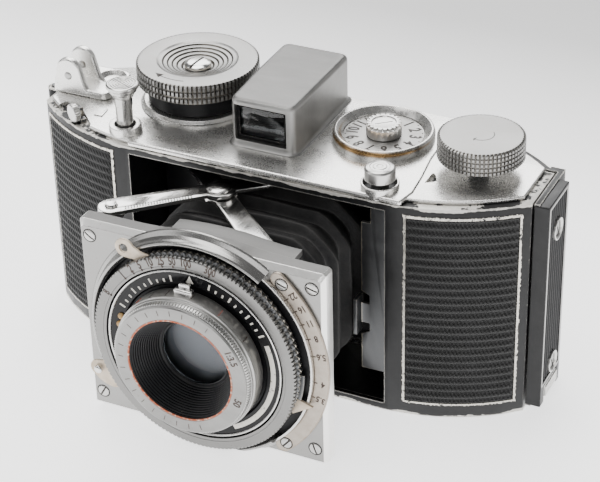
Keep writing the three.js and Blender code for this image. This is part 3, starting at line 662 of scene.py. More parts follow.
def tarnished_scale(name):
    """Stained metal with darker brown edges."""
    n = Nodes(name)
    stain = n.noise(230, 6, 0.7)
    edge = n.ramp(n.math("ADD", n.math("MULTIPLY", n.edges(0.0007), 1.4),
                         n.math("MULTIPLY", n.noise(600), 0.35)),
                  [(0.3, 0.0), (0.55, 1.0)])
    base = n.mix(n.ramp(stain, [(0.3, 0.0), (0.72, 1.0)]), (0.36, 0.31, 0.26), (0.54, 0.49, 0.43))
    n.set(Base_Color=n.mix(edge, base, (0.16, 0.085, 0.03)), Metallic=0.75)
    n.set(Roughness=n.ramp(stain, [(0.3, 0.4), (0.7, 0.58)]))
    n.bump(n.noise(2600, 2), 0.00002, 0.6)
    return n.material


def worn_plating(name):
    """Bright plating with brass showing along the front of the rim."""
    n = Nodes(name)
    place = Place("counter_bezel")
    parts = n.add("ShaderNodeSeparateXYZ")
    n.link(n.coords, parts.inputs[0])
    front = n.math("MULTIPLY", n.math("SUBTRACT", place.cy * MM, parts.outputs["Y"]), 45.0)
    away = n.math("ABSOLUTE", n.math("SUBTRACT", (place.z1 - 0.75) * MM, parts.outputs["Z"]))
    band = n.math("SUBTRACT", 1.0, n.math("DIVIDE", away, 0.0007))
    wear = n.math("ADD", n.math("ADD", front, n.math("MULTIPLY", band, 0.5)),
                  n.math("MULTIPLY", n.noise(500, 5), 0.3))
    mask = n.ramp(wear, [(0.5, 0.0), (0.9, 1.0)])
    n.set(Base_Color=n.mix(mask, (0.66, 0.65, 0.63), (0.33, 0.205, 0.09)), Metallic=0.95)
    n.set(Roughness=n.ramp(n.noise(900), [(0.3, 0.2), (0.7, 0.34)]))
    n.bump(n.noise(2500, 2), 0.000006, 0.5)
    return n.material


SHELL_ENAMEL = worn_enamel("shell_enamel", 0.0006, 0.52, ((0.0525, 0.0009), (0.0003, 0.0009)))
ENAMEL = worn_enamel("black_enamel")
STRIP_ENAMEL = worn_enamel("strip_enamel", 0.0004, 0.34)
ALUMINIUM = satin_aluminium("satin_aluminium", 0.86, (0.22, 0.34), 0.00003, 0.8, 0.95)
FINDER_METAL = satin_aluminium("finder_metal", 0.40, (0.34, 0.5), 0.00003, 0.75, 0.92)
# A darker copy of finder_metal, as painted shade on the finder's top.
FINDER_TOP_PAINTED_SHADE = satin_aluminium("finder_top_painted_shade", 0.20, (0.34, 0.46), 0.00003, 0.7, 0.92)
PANEL_METAL = satin_aluminium("panel_metal", 0.32, (0.30, 0.42), 0.00002, 0.92)
# A darker copy of panel_metal, as painted shade on the panel's upward faces and ledge.
PANEL_TOP_PAINTED_SHADE = satin_aluminium("panel_top_painted_shade", 0.14, (0.4, 0.5), 0.00002, 0.92, 0.75)
# A much brighter copy of panel_metal, as painted highlight on the panel's slopes and right side.
PANEL_PAINTED_HIGHLIGHT = satin_aluminium("panel_painted_highlight", 0.95, (0.3, 0.4), 0.00003, 0.95, 0.95)
BRIGHT = polished_steel("bright_metal")
RING_METAL = polished_steel("ring_metal", 0.70, (0.2, 0.32))
RIVET_STEEL = polished_steel("rivet_steel", 0.42, (0.3, 0.42), 0.8)
DARK_STEEL = dark_steel("dark_steel")
LEATHER = leatherette("leatherette")
LACQUER = gloss_black("black_lacquer")
# Dull black for inner parts, also used as painted shade under button gaps and round screw heads.
INNER_BLACK_AND_SHADE = gloss_black("inner_black_and_shade", (0.35, 0.5), 0.0001)
CLOTH = bellows_cloth("bellows_cloth")
GLASS = clear_glass("glass")
# Black paint for engraved marks, also used as painted shade at the bottom of screw slots.
BLACK_PAINT_AND_SHADE = paint("black_paint_and_shade", (0.02, 0.014, 0.01))
RED_PAINT = paint("red_paint", (0.42, 0.05, 0.02), 0.5, (0.25, 0.06, 0.03))
SCALE = tarnished_scale("scale_metal")
PLATING = worn_plating("worn_brass")
UP = (1, 1, 0)


def turned_about(node, name, **options):
    """Turned metal with its rings centred on the upright axis of a node."""
    place = Place(node)
    return turned_metal(name, (place.cx * MM, place.cy * MM, 0), UP, **options)


# ---- CAD nodes that stay -------------------------------------------------

def dress_cad(node, material, bevel=0.18, segments=2):
    """A CAD node that stays: its own material, with edges rounded by a modifier."""
    obj = frame["nodes"][node]
    obj.data.materials.clear()
    obj.data.materials.append(material)
    weld = obj.modifiers.new("weld", "WELD")
    weld.merge_threshold = 0.00001
    if bevel:
        modifier = obj.modifiers.new("edge", "BEVEL")
        modifier.width = bevel * MM
        modifier.segments = segments
        modifier.limit_method = "ANGLE"
        modifier.angle_limit = math.radians(30)
        modifier.harden_normals = False
        modifier.use_clamp_overlap = True
    obj.data.polygons.foreach_set("use_smooth", [True] * len(obj.data.polygons))
    return obj


STAYING = {
    "body_shell": (SHELL_ENAMEL, 0.3),
    "film_gate": (INNER_BLACK_AND_SHADE, 0.15),
    "tripod_bush": (PLATING, 0.15),
    "hinge_pin": (DARK_STEEL, 0.1),
    "viewfinder_front_glass": (GLASS, 0.05),
    "viewfinder_eyepiece": (GLASS, 0.05),
    "film_sprocket": (BRIGHT, 0.1),
    "rewind_fork": (DARK_STEEL, 0.15),
    "back_door": (ENAMEL, 0.25),
    "pressure_plate": (INNER_BLACK_AND_SHADE, 0.2),
    "rear_lens": (GLASS, 0.05),
    "shutter_blades": (DARK_STEEL, 0.05),
    "lock_plate": (DARK_STEEL, 0.12),
    "unlock_lever": (DARK_STEEL, 0.12),
}
for node, (material, bevel) in STAYING.items():
    dress_cad(node, material, bevel)


# ---- Body dress ----------------------------------------------------------

def side_arc(side, degrees, offset, z):
    """A point on the body's curved side, that far outside it."""
    a = math.radians(degrees)
    radius = SIDE_ARC + offset
    return (side * (FLAT_X + radius * math.cos(a)), ARC_Y + radius * math.sin(a), z)


def arc_angle(x):
    """The angle on the right side's arc at a distance from the middle plane."""
    return -math.degrees(math.acos((x - FLAT_X) / SIDE_ARC))


def arc_block(side, from_deg, to_deg, z0, z1, low, high, columns=24, rows=1):
    """A closed curved slab between two offsets; high may be a function of (u, v) from 0 to 1."""
    height = high if callable(high) else (lambda u, v: high)
    bm = bmesh.new()
    inner = []
    outer = []
    for i in range(columns + 1):
        u = i / columns
        degrees = from_deg + (to_deg - from_deg) * u
        inner.append([bm.verts.new(side_arc(side, degrees, low, z)) for z in (z0, z1)])
        column = []
        for k in range(rows + 1):
            v = k / rows
            column.append(bm.verts.new(side_arc(side, degrees, height(u, v), z0 + (z1 - z0) * v)))
        outer.append(column)
    for i in range(columns):
        bm.faces.new([inner[i][0], inner[i + 1][0], inner[i + 1][1], inner[i][1]])
        bm.faces.new([inner[i][0], outer[i][0], outer[i + 1][0], inner[i + 1][0]])
        bm.faces.new([inner[i][1], inner[i + 1][1], outer[i + 1][-1], outer[i][-1]])
        for k in range(rows):
            bm.faces.new([outer[i][k], outer[i][k + 1], outer[i + 1][k + 1], outer[i + 1][k]])
    for end, column in ((inner[0], outer[0]), (inner[-1], outer[-1])):
        bm.faces.new([end[0], end[1], *column[::-1]])
    return bm


def make_grip(side, node):
    """Ribbed leatherette in a thin bright border."""
    place = Place(node)
    inner, outer = sorted((abs(place.x0), abs(place.x1)))
    start = arc_angle(inner + 0.35)
    end = arc_angle(outer - 0.1)
    z0 = place.z0 + 0.45
    z1 = place.z1 - 0.45
    ribs = 25

    def relief(u, v):
        fade = min(1.0, u / 0.02, (1 - u) / 0.02, v / 0.01, (1 - v) / 0.01)
        wave = math.cos(TAU * ribs * v)
        return 0.10 + fade * (0.24 + 0.24 * wave)

    bm = arc_block(side, start, end, z0, z1, -0.05, relief, 30, ribs * 8)
    panel = make_object(node + "_leather", bm, 60)
    material = leatherette(node + "_leather", (z0 * MM, (z1 - z0) * MM, ribs))
    finish_piece(panel, "camera_body", "leatherette", material, node)
    finish_piece(grip_border(side, node, start, end, z0, z1), "camera_body", "bright_metal", GRIP_BORDER)


def grip_border(side, node, start, end, z0, z1):
    """A thin bright frame with a ragged outer edge, bent round the body's side."""
    bm = bmesh.new()
    steps = 150
    width = 0.55
    turn = math.degrees(1 / (SIDE_ARC + 0.1))
    loop = [(start + (end - start) * k / steps, z0, 0, -1) for k in range(steps)]
    loop += [(end, z0 + (z1 - z0) * k / steps, 1, 0) for k in range(steps)]
    loop += [(end - (end - start) * k / steps, z1, 0, 1) for k in range(steps)]
    loop += [(start, z1 - (z1 - z0) * k / steps, -1, 0) for k in range(steps)]
    rings = []
    for k, (degrees, z, along, up) in enumerate(loop):
        if k % steps == 0:
            before = loop[k - 1]
            along, up = along + before[2], up + before[3]
        reach = width * (0.8 + 0.55 * random.random() ** 3)
        inner = (degrees, z)
        outer = (degrees + along * reach * turn, z + up * reach)
        corners = [(inner, -0.05), (inner, 0.3), (outer, 0.2), (outer, -0.05)]
        rings.append([bm.verts.new(side_arc(side, a, lift, h)) for (a, h), lift in corners])
    for k in range(len(rings)):
        first, second = rings[k], rings[(k + 1) % len(rings)]
        for i in range(4):
            j = (i + 1) % 4
            bm.faces.new([first[i], first[j], second[j], second[i]])
    return make_object(node + "_border", bm, 30)


def worn_border(name):
    """A thin bright edge with remains of black paint."""
    n = Nodes(name)
    remains = n.ramp(n.noise(1100, 5, 0.7), [(0.56, 0.0), (0.62, 1.0)])
    n.set(Base_Color=n.mix(remains, (0.66, 0.63, 0.57), (0.02, 0.02, 0.02)))
    n.set(Metallic=n.math("SUBTRACT", 0.9, n.math("MULTIPLY", remains, 0.9)))
    n.set(Roughness=n.ramp(n.noise(500), [(0.3, 0.32), (0.7, 0.5)]))
    n.bump(n.noise(1500, 4), 0.00006, 0.8)
    return n.material


GRIP_BORDER = worn_border("grip_border")
make_grip(-1, "grip_left")
make_grip(1, "grip_right")


def make_back_cover():
    """A leatherette panel across the flat of the back door."""
    door = Place("back_door")
    x = FLAT_X - 1.5
    z0 = door.z0 + 3
    z1 = door.z1 - 3
    bm = bmesh.new()
    rows = 24 * 7
    top = []
    for k in range(rows + 1):
        v = k / rows
        proud = 0.05 + 0.12 * (1 + math.cos(TAU * 24 * v)) / 2
        top.append([bm.verts.new((s * x, door.y1 + proud, z0 + (z1 - z0) * v)) for s in (-1, 1)])
    base = [[bm.verts.new((s * x, door.y1 - 0.2, z)) for s in (-1, 1)] for z in (z0, z1)]
    for low, high in zip(top, top[1:]):
        bm.faces.new([low[0], low[1], high[1], high[0]])
    bm.faces.new([base[0][0], base[0][1], top[0][1], top[0][0]])
    bm.faces.new([base[1][0], base[1][1], top[-1][1], top[-1][0]])
    bm.faces.new([base[0][0], base[0][1], base[1][1], base[1][0]])
    bm.faces.new([base[0][0], base[1][0], *[row[0] for row in top[::-1]]])
    bm.faces.new([base[0][1], base[1][1], *[row[1] for row in top[::-1]]])
    finish_piece(make_object("back_leather", bm, 60), "door", "leatherette", LEATHER)


make_back_cover()


def body_plan(inset_right, inset_left, steps=30):
    """The plan outline with its curved sides inset."""
    points = []
    for quarter, inset in ((0, inset_right), (1, inset_right), (2, inset_left), (3, inset_left)):
        side = 1 if quarter < 2 else -1
        front = quarter in (0, 3)
        radius = SIDE_ARC - inset
        end = math.degrees(math.acos((SHELL_END - inset - FLAT_X) / radius))
        run = arc_points(FLAT_X, ARC_Y, radius, -90, -end, steps)
        run = [(side * x, y if front else -y) for x, y in run]
        points += run if quarter in (0, 2) else run[::-1]
    return points


SHELL_END = 58.3
PLATE_FRONT = -19.05


def top_plate_outline():
    """The top plate's plan: straight in the middle, inset at the sides, with a notch for the lever."""
    outline = [(x, y) for x, y in body_plan(2.0, 1.2)]
    notch = [(-41.4, -17.5), (-42.2, -14.6), (-46.6, -10.2), (-52.8, -7.4), (-55, -14)]
    return outline, notch


def make_top_plate():
    """The top plate: sides, raised middle, notch, hole, advance collar and the mark for the lever."""
    outline, notch = top_plate_outline()
    low = SHELL_TOP + 0.05
    raised = arc_points(-30.0, PLATE_FRONT + 0.6, 0.6, 180, 270, 6) + arc_points(33.2,
        PLATE_FRONT + 0.8, 0.8, 270, 350, 6)
    raised += [(34.8, -14.4), (34.2, -8), (33.0, 0.2), (32.6, 10), (33.0, -PLATE_FRONT),
               (-30.6, -PLATE_FRONT)]
    middle = slab("middle", [raised], low, PLATE_TOP + 0.3, bevel=0.5, rounds=4)
    sides = slab("sides", [outline], low, PLATE_TOP - 0.02, bevel=0.3, rounds=3)
    tool = slab("tool", [notch], low - 1, PLATE_TOP + 1, bevel=0.01)
    hole = slab("hole", [[(35.3, -9.4), (36.9, -8.6), (37.3, -7.6), (36.4, -5.8), (35.6, -4.9),
                          (35.3, -5.4)]],
                low - 1, PLATE_TOP + 1, bevel=0.01)
    plate = joined("top_plate_sheet", [sides])
    plate = carve(plate, tool, hole)
    modifier = plate.modifiers.new("edge", "BEVEL")
    modifier.width = 0.00012
    modifier.segments = 2
    modifier.limit_method = "ANGLE"
    modifier.angle_limit = math.radians(50)
    finish_piece(plate, "camera_body", "satin_aluminium", ALUMINIUM, "top_plate")
    finish_piece(joined("top_plate_middle", [middle]), "camera_body", "satin_aluminium", ALUMINIUM)
    place = Place("advance_knob")
    collar = lathe("advance_collar", [
        (0, PLATE_TOP - 0.3), (13.3, PLATE_TOP + 0.2), (12.6, PLATE_TOP + 0.45), (12.5, PLATE.z1 - 0.1),
        (12.2, PLATE.z1), (0, PLATE.z1),
    ], upright_at(place.cx, place.cy), soft=0.1)
    finish_piece(collar, "camera_body", "satin_aluminium", ALUMINIUM)
    mark = slab("lever_mark", [[(-43.9, -10.5), (-43.6, -10.9), (-41.6, -10.7), (-42.0, -7.4), (-42.5, -7.4),
                                (-42.3, -10.2)]], PLATE_TOP - 0.1, PLATE_TOP + 0.22, bevel=0.08)
    finish_piece(mark, "camera_body", "satin_aluminium", ALUMINIUM)


SHELL_TOP = 52.7
PLATE_TOP = 53.7
make_top_plate()


# ---- Viewfinder ----------------------------------------------------------

def grown(points, distance):
    """A convex outline (counter-clockwise) moved outwards by a distance."""
    result = []
    for i, point in enumerate(points):
        here = Vector(point)
        before = (here - Vector(points[i - 1])).normalized()
        after = (Vector(points[(i + 1) % len(points)]) - here).normalized()
        out = Vector((before.y, -before.x)) + Vector((after.y, -after.x))
        result.append(tuple(here + out * distance / (out.length_squared / 2)))
    return result


def rounded_outline(points, radius, steps=6):
    """An outline whose corners are replaced by short curves."""
    flat_points = softened([(*p, 0.0) for p in points], radius, loop=True, steps=steps)
    return [(x, y) for x, y, _ in flat_points]


def make_viewfinder():
    """A hood with rounded edges that flares into the top plate, and a window right through it."""
    hood = Place("viewfinder_housing")
    glass = Place("viewfinder_front_glass")
    base = PLATE_TOP + 0.28
    plan = [(-9.3, hood.y0), (hood.x1, hood.y0), (hood.x1 + 0.1, hood.y1), (hood.x0, hood.y1),
            (hood.x0, 4.5)]
    flare, crown = 1.1, 1.15
    levels = []
    for step in range(9):
        a = math.pi / 2 * step / 8
        levels.append((base + flare * (1 - math.cos(a)), flare * (1 - math.sin(a))))
    for step in range(11):
        a = math.pi / 2 * step / 10
        levels.append((hood.z1 - crown * (1 - math.sin(a)), -crown * (1 - math.cos(a))))
    bm = bmesh.new()
    rings = [[bm.verts.new((x, y, base - 0.6)) for x, y in rounded_outline(grown(plan, flare), 3.2)]]
    for z, offset in levels:
        outline = rounded_outline(grown(plan, offset), max(2.1 + offset, 0.5))
        rings.append([bm.verts.new((x, y, z)) for x, y in outline])
    for first, second in zip(rings, rings[1:]):
        for i in range(len(first)):
            j = (i + 1) % len(first)
            bm.faces.new([first[i], first[j], second[j], second[i]])
    bm.faces.new(rings[0])
    bm.faces.new(rings[-1])
    body = make_object("viewfinder_hood", bm, 32)
    window = block("window", glass.x0 - 0.1, glass.x1 + 0.1, -40, 40, glass.z0 - 0.1, glass.z1 + 0.1,
                   0.25, 2)
    body = carve(body, window)
    modifier = body.modifiers.new("edge", "BEVEL")
    modifier.width = 0.0001
    modifier.segments = 2
    modifier.limit_method = "ANGLE"
    modifier.angle_limit = math.radians(60)
    body.data.materials.clear()
    body.data.materials.append(FINDER_METAL)
    body.data.materials.append(FINDER_TOP_PAINTED_SHADE)
    # Painted shade: the top gets a darker copy of the finder's metal than its sides.
    for face in body.data.polygons:
        face.material_index = 1 if face.normal.z > 0.8 else 0
    finish_piece(body, "camera_body", "satin_aluminium", None, "viewfinder_housing")
    make_finder_frame("finder_frame_front", hood.y0 + 1.0, hood.y0 + 1.6, glass)
    make_finder_frame("finder_frame_rear", hood.y1 - 1.5, hood.y1 - 1.0, glass)
    make_finder_lining(hood, glass)


def make_finder_frame(name, front, back, glass):
    """A thin black mask round the window."""
    outer = rounded_rectangle(glass.x0, glass.x1, glass.z0, glass.z1, 0.3)
    inner = rounded_rectangle(glass.x0 + 0.8, glass.x1 - 0.8, glass.z0 + 0.7, glass.z1 - 0.7, 0.3)
    frame_piece = slab(name, [outer, inner], -back, -front, facing_front, 0.12)
    finish_piece(frame_piece, "camera_body", "black_lacquer", LACQUER)


def make_finder_lining(hood, glass):
    """Blackened walls inside the finder's tube."""
    walls = []
    for z0, z1 in ((glass.z0 - 0.02, glass.z0 + 0.25), (glass.z1 - 0.25, glass.z1 + 0.02)):
        walls.append(block("wall", glass.x0, glass.x1, hood.y0 + 3, hood.y1 - 3, z0, z1, 0.05, 1))
    for x0, x1 in ((glass.x0 - 0.02, glass.x0 + 0.25), (glass.x1 - 0.25, glass.x1 + 0.02)):
        walls.append(block("wall", x0, x1, hood.y0 + 3, hood.y1 - 3, glass.z0 + 0.3, glass.z1 - 0.3,
                           0.05, 1))
    finish_piece(joined("finder_lining", walls), "camera_body", "black_lacquer", INNER_BLACK_AND_SHADE)


make_viewfinder()


# ---- Strap yoke ----------------------------------------------------------

CUP_X = -47.5
CUP_Y = 4.4


def make_yoke():
    """The strap yoke: two ears on a foot, the cup in the foot and the two rivets."""
    yoke = Place("strap_yoke")
    pins = [Place("yoke_pin_front"), Place("yoke_pin_rear")]
    axis_x = pins[0].cx
    base = PLATE_TOP + 0.05
    top_radius = 3.1
    lobe_z = yoke.z1 - top_radius
    ears = []
    for pin in pins:
        left, right = yoke.x0, axis_x + 4.6
        outline = [(left, base), (right + 0.9, base), (right + 0.6, base + 0.9), (right - 0.5, base + 2.4)]
        outline += arc_points(axis_x, lobe_z, top_radius, 16, 168, 20) + [(left + 0.2, base + 2.2)]
        ears.append(slab("ear", [rounded_outline(outline, 0.5, 3)], -pin.y1 + 0.25, -pin.y0 - 0.25,
                         facing_front, 0.55,
                         5, 50))
    foot = rounded_rectangle(yoke.x0, -44, -4.3, 8, 2)
    ears.append(slab("foot", [foot, circle_points(CUP_X, CUP_Y, 2.9)], base, 55.5, bevel=0.45, rounds=4))
    finish_piece(joined("strap_yoke_casting", ears), "camera_body", "satin_aluminium", ALUMINIUM,
                 "strap_yoke")
    cup = lathe("yoke_cup", [(2.85, base + 0.9), (2.85, 55.2), (2.2, 54.5), (0, 54.4), (0, base),
                             (2.85, base)],
                upright_at(CUP_X, CUP_Y), smooth_angles(48), 0.1)
    finish_piece(cup, "camera_body", "satin_aluminium", ALUMINIUM)
    for pin, name in zip(pins, ("yoke_pin_front", "yoke_pin_rear")):
        profile = [(0, pin.y1), (0.95, pin.y1), (0.95, pin.y0 + 0.15), (0.5, pin.y0), (0, pin.y0 + 0.1)]
        around = lambda r, h, a, p=pin: (p.cx + r * math.cos(a), h, p.cz + r * math.sin(a))
        rivet = lathe(name + "_head", profile, around, smooth_angles(32), 0.12)
        finish_piece(rivet, "camera_body", "bright_metal", RIVET_STEEL, name)


make_yoke()


# ---- Knobs and buttons ---------------------------------------------------

def studded_rows(radius, low, high, rows, depth):
    """Profile points of rows of square studs between two heights."""
    pitch = (high - low) / rows
    points = [(radius - depth, low, 0)]
    for row in range(rows):
        start = low + row * pitch
        points += [
            (radius - depth, start + 0.10 * pitch, 0), (radius, start + 0.22 * pitch, depth * 1.1),
            (radius, start + 0.80 * pitch, depth * 1.1), (radius - depth, start + 0.92 * pitch, 0),
        ]
    return points + [(radius - depth, high, 0)]


def make_advance_knob():
    """The milled advance knob, its skirt, its arrow and its screw."""
    knob = Place("advance_knob")
    place = upright_at(knob.cx, knob.cy)
    top = knob.z1
    r = knob.radius
    dish = [(9.2, top), (8.95, top - 0.12)]
    for step in range(5):
        ring = 8.8 - step * 1.05
        dish += [(ring - 0.1, top - 0.22 - step * 0.34), (ring - 0.8, top - 0.36 - step * 0.34),
                 (ring - 0.85, top - 0.24 - step * 0.34)]
    profile = [(0, 59.3), (r - 0.9, 59.3)] + studded_rows(r, 59.45, top - 1.55, 2, 0.5)
    profile += [(r - 0.5, top - 1.5), (r, top - 1.38, 0.5), (r, top - 0.32, 0.5),
                (r - 0.35, top - 0.05, 0.12)]
    profile += [(r - 0.8, top)] + dish + [(3.3, top - 2.0), (0, top - 2.0)]
    head = lathe("advance_head", profile, place, toothed_angles(86, KNURL), 0.04, smooth_angle=30)
    metal = turned_about("advance_knob", "advance_metal", tone=0.30, depth=0.000002, rough=(0.26, 0.36),
                         reach=r * MM)
    finish_piece(head, "advance", "satin_aluminium", metal, "advance_knob")
    skirt = lathe("advance_skirt", [
        (0, 55.15), (11.3, 55.15), (11.5, 55.5), (11.5, 59.0), (11.2, 59.35), (0, 59.35),
    ], place, soft=0.15)
    finish_piece(skirt, "advance", "black_lacquer", SKIRT_BLACK)
    make_arrow("advance_arrow", place_point(knob), 11.2, -118, -78, top, "advance")
    make_slotted_head("advance_screw", Place("advance_knob_screw"), 3.05, 84, "advance",
                      "advance_knob_screw")


def place_point(node):
    """The centre of a placed node, seen from above."""
    return (node.cx, node.cy)


def make_arrow(name, centre, radius, from_deg, to_deg, level, body):
    """An engraved curved arrow, its head at the first angle."""
    shaft = arc_points(centre[0], centre[1], radius + 0.16, from_deg + 8, to_deg, 20)
    shaft += arc_points(centre[0], centre[1], radius - 0.02, to_deg, from_deg + 8, 20)
    tip = arc_points(centre[0], centre[1], radius, from_deg, from_deg + 1, 1)[0]
    wide = arc_points(centre[0], centre[1], radius + 0.85, from_deg + 10, from_deg + 11, 1)[0]
    thin = arc_points(centre[0], centre[1], radius - 0.85, from_deg + 10, from_deg + 11, 1)[0]
    pieces = [slab("shaft", [shaft], level - 0.05, level + 0.03, bevel=0.005, rounds=1),
              slab("tip", [[tip, thin, wide]], level - 0.05, level + 0.03, bevel=0.005, rounds=1)]
    finish_piece(joined(name, pieces), body, "black_lacquer", BLACK_PAINT_AND_SHADE)


def make_slotted_head(name, place, radius, slot_deg, body, node, domed=0.5):
    """A round slotted screw head standing in its node's place, facing up, with a black sheet of painted
    shade at the bottom of its slot.
    """
    top = place.z1 - 0.1
    head = lathe(name, [
        (0, place.z0), (radius, place.z0), (radius, top - domed), (radius * 0.7, top - 0.1), (0, top),
    ], upright_at(place.cx, place.cy), smooth_angles(72), 0.2)
    matrix = Matrix.Translation((place.cx * MM, place.cy * MM,
                                 0)) @ Matrix.Rotation(math.radians(slot_deg), 4, "Z")
    tool = block("slot", -5, 5, -0.3, 0.3, top - 0.6, top + 2, 0.02, 1)
    tool.data.transform(matrix)
    head = carve(head, tool)
    head.data.materials.append(BRIGHT)
    # A black sheet at the bottom of the slot, as painted shade.
    shade = block("shade", -radius * 0.97, radius * 0.97, -0.32, 0.32, top - 0.62, top - 0.56, 0.01, 1)
    shade.data.transform(matrix)
    shade.data.materials.append(BLACK_PAINT_AND_SHADE)
    return finish_piece(joined(name, [head, shade]), body, "bright_metal", None, node)


def make_rewind_knob():
    """The milled rewind knob, its arrow and its neck."""
    knob = Place("rewind_knob")
    place = upright_at(knob.cx, knob.cy)
    r = knob.radius
    low = 56.5
    profile = [(0, low), (r - 1, low)] + studded_rows(r, low + 0.15, knob.z1 - 0.95, 4, 0.36)
    profile += [(r - 0.3, knob.z1 - 0.9, 0), (r, knob.z1 - 0.8, 0.36), (r - 0.05, knob.z1 - 0.3, 0.36)]
    profile += [(r - 0.6, knob.z1 - 0.03, 0.08), (r - 1.1, knob.z1), (0, knob.z1)]
    head = lathe("rewind_head", profile, place, toothed_angles(66, KNURL), 0.03, smooth_angle=30)
    material = turned_about("rewind_knob", "rewind_metal", tone=0.30, depth=0.000001, rough=(0.28, 0.38),
                            reach=r * MM)
    finish_piece(head, "rewind", "satin_aluminium", material, "rewind_knob")
    make_arrow("rewind_arrow", place_point(knob), 2.6, -110, 40, knob.z1 - 0.02, "rewind")
    neck = lathe("rewind_neck", [(0, 51.2), (2.2, 51.2), (2.2, low + 0.1), (0, low + 0.1)], place, soft=0.05)
    finish_piece(neck, "rewind", "satin_aluminium", DARK_STEEL)


def make_counter():
    """The frame counter: its bezel, its numbered face and its boss."""
    bezel = Place("counter_bezel")
    disc = Place("counter_disc")
    boss = Place("counter_boss")
    place = upright_at(bezel.cx, bezel.cy)
    rim = bezel.z1
    outer = bezel.radius
    ring = lathe("counter_ring", [
        (disc.radius + 0.15, PLATE_TOP), (outer, PLATE_TOP), (outer - 0.05, rim - 0.8),
        (outer - 0.35, rim - 0.1),
        (outer - 0.8, rim), (disc.radius + 0.12, rim - 1.35),
    ], place, soft=0.15, loop=True)
    finish_piece(ring, "camera_body", "worn_brass", PLATING, "counter_bezel")
    face = lathe("counter_face", [(0, disc.z0), (disc.radius, disc.z0), (disc.radius, disc.z1),
                                  (0, disc.z1)],
                 place, soft=0.05)
    finish_piece(face, "frame_counter", "bright_metal", turned_about("counter_disc", "disc_metal", tone=0.36,
                 depth=0.000001, rough=(0.32, 0.42)), "counter_disc")
    marks = []
    for number in range(1, 13):
        degrees = 62 - 25.8 * (number - 1)
        marks.append((str(number), disc.radius * 0.77, degrees, 2.7, -90))
    numbers = lettered("counter_numbers", marks, lambda u, v, w: (bezel.cx + u, bezel.cy + v, w),
                       disc.z1 + 0.02, 0.8)
    finish_piece(numbers, "frame_counter", "black_lacquer", BLACK_PAINT_AND_SHADE)
    dots = bars("counter_dots", [(8.2, 8.5, 62 - 12.9 * k, 0.3) for k in range(24)],
                lambda u, v, w: (bezel.cx + u, bezel.cy + v, w), disc.z1 + 0.03)
    finish_piece(dots, "frame_counter", "black_lacquer", BLACK_PAINT_AND_SHADE)
    serrated = [(0, boss.z0), (3.9, boss.z0), (3.9, boss.z1 - 0.7), (3.85, boss.z1 - 0.55, 0.55),
                (3.7, boss.z1, 0.55), (2.75, boss.z1, 0.05), (2.6, boss.z1 - 0.3), (0, boss.z1 - 0.3)]
    knob = lathe("counter_knob", serrated, place, toothed_angles(20), 0.06)
    tool = block("slot", -2, 2, -0.16, 0.16, boss.z1 - 0.7, boss.z1 + 2, 0.02, 1)
    tool.data.transform(Matrix.Rotation(math.radians(40), 4, "Z"))
    tool.data.transform(Matrix.Translation((bezel.cx * MM, bezel.cy * MM, 0)))
    finish_piece(carve(knob, tool), "frame_counter", "bright_metal", BOSS_METAL, "counter_boss")


def ringed_top(radius, top, rings, depth=0.12):
    """Profile of concentric steps from the rim to the middle of a button's top."""
    points = []
    pitch = (radius - 0.5) / rings
    for i in range(rings):
        r = radius - 0.3 - i * pitch
        points += [(r, top), (r - 0.35 * pitch, top), (r - 0.5 * pitch, top - depth),
                   (r - 0.8 * pitch, top - depth)]
    return points + [(0.25, top), (0, top)]


def make_release_button():
    """The shutter release button and its guide."""
    button = Place("release_button")
    place = upright_at(button.cx, button.cy)
    top = button.z1
    r = button.radius
    profile = [
        (0, 49), (1.85, 49), (1.85, top - 5.3), (2.0, top - 5.2), (2.0, top - 3.3), (2.3, top - 3.1),
        (2.65, top - 2.3), (3.1, top - 1.75), (3.15, top - 1.2), (2.95, top - 1.05), (r, top - 0.85),
        (r, top - 0.2),
    ] + ringed_top(r - 0.05, top, 5, 0.16)
    cap = lathe("release_cap", profile, place, soft=0.05)
    metal = turned_about("release_button", "release_metal", tone=0.6, depth=0.000001, rough=(0.2, 0.3))
    finish_piece(cap, "release", "satin_aluminium", metal, "release_button")
    make_collar("release_guide", "release_collar", 2.35)


def make_collar(name, node, bore):
    """A guide collar round a button, with a black disc of painted shade under the gap."""
    collar = Place(node)
    low = PLATE_TOP - 1.6
    ring = lathe(name, [
        (bore, low), (collar.radius, low), (collar.radius, collar.z1), (bore, collar.z1),
        (bore - 0.02, low + 0.5),
    ], upright_at(collar.cx, collar.cy), smooth_angles(96), 0.2, loop=True)
    finish_piece(ring, "camera_body", "satin_aluminium", ALUMINIUM, node)
    # A black disc under the gap round the button, as painted shade.
    shade = lathe(name + "_shade", [(0, PLATE_TOP + 0.31), (bore, PLATE_TOP + 0.31), (bore, PLATE_TOP + 0.4),
                                    (0, PLATE_TOP + 0.4)], upright_at(collar.cx, collar.cy),
                                    smooth_angles(64), 0)
    finish_piece(shade, "camera_body", "black_lacquer", INNER_BLACK_AND_SHADE)


def make_fold_button():
    """The button that lets the lens panel fold, and its guide."""
    button = Place("fold_button")
    place = upright_at(button.cx, button.cy)
    top = button.z1
    r = button.radius
    profile = [(0, 51.2), (1.9, 51.2), (1.9, 55.95), (r, 56.0), (r, top - 0.55), (r - 0.35, top - 0.2)]
    profile += [(2.2, top), (2.05, top - 0.12), (1.5, top - 0.12), (1.35, top), (0.7, top), (0.6, top - 0.1),
                (0, top - 0.1)]
    cap = lathe("fold_cap", profile, place, soft=0.1)
    metal = turned_about("fold_button", "fold_metal", tone=0.62, depth=0.000001, rough=(0.24, 0.34))
    finish_piece(cap, "fold_release", "satin_aluminium", metal, "fold_button")
    make_collar("fold_guide", "fold_button_collar", 3.6)


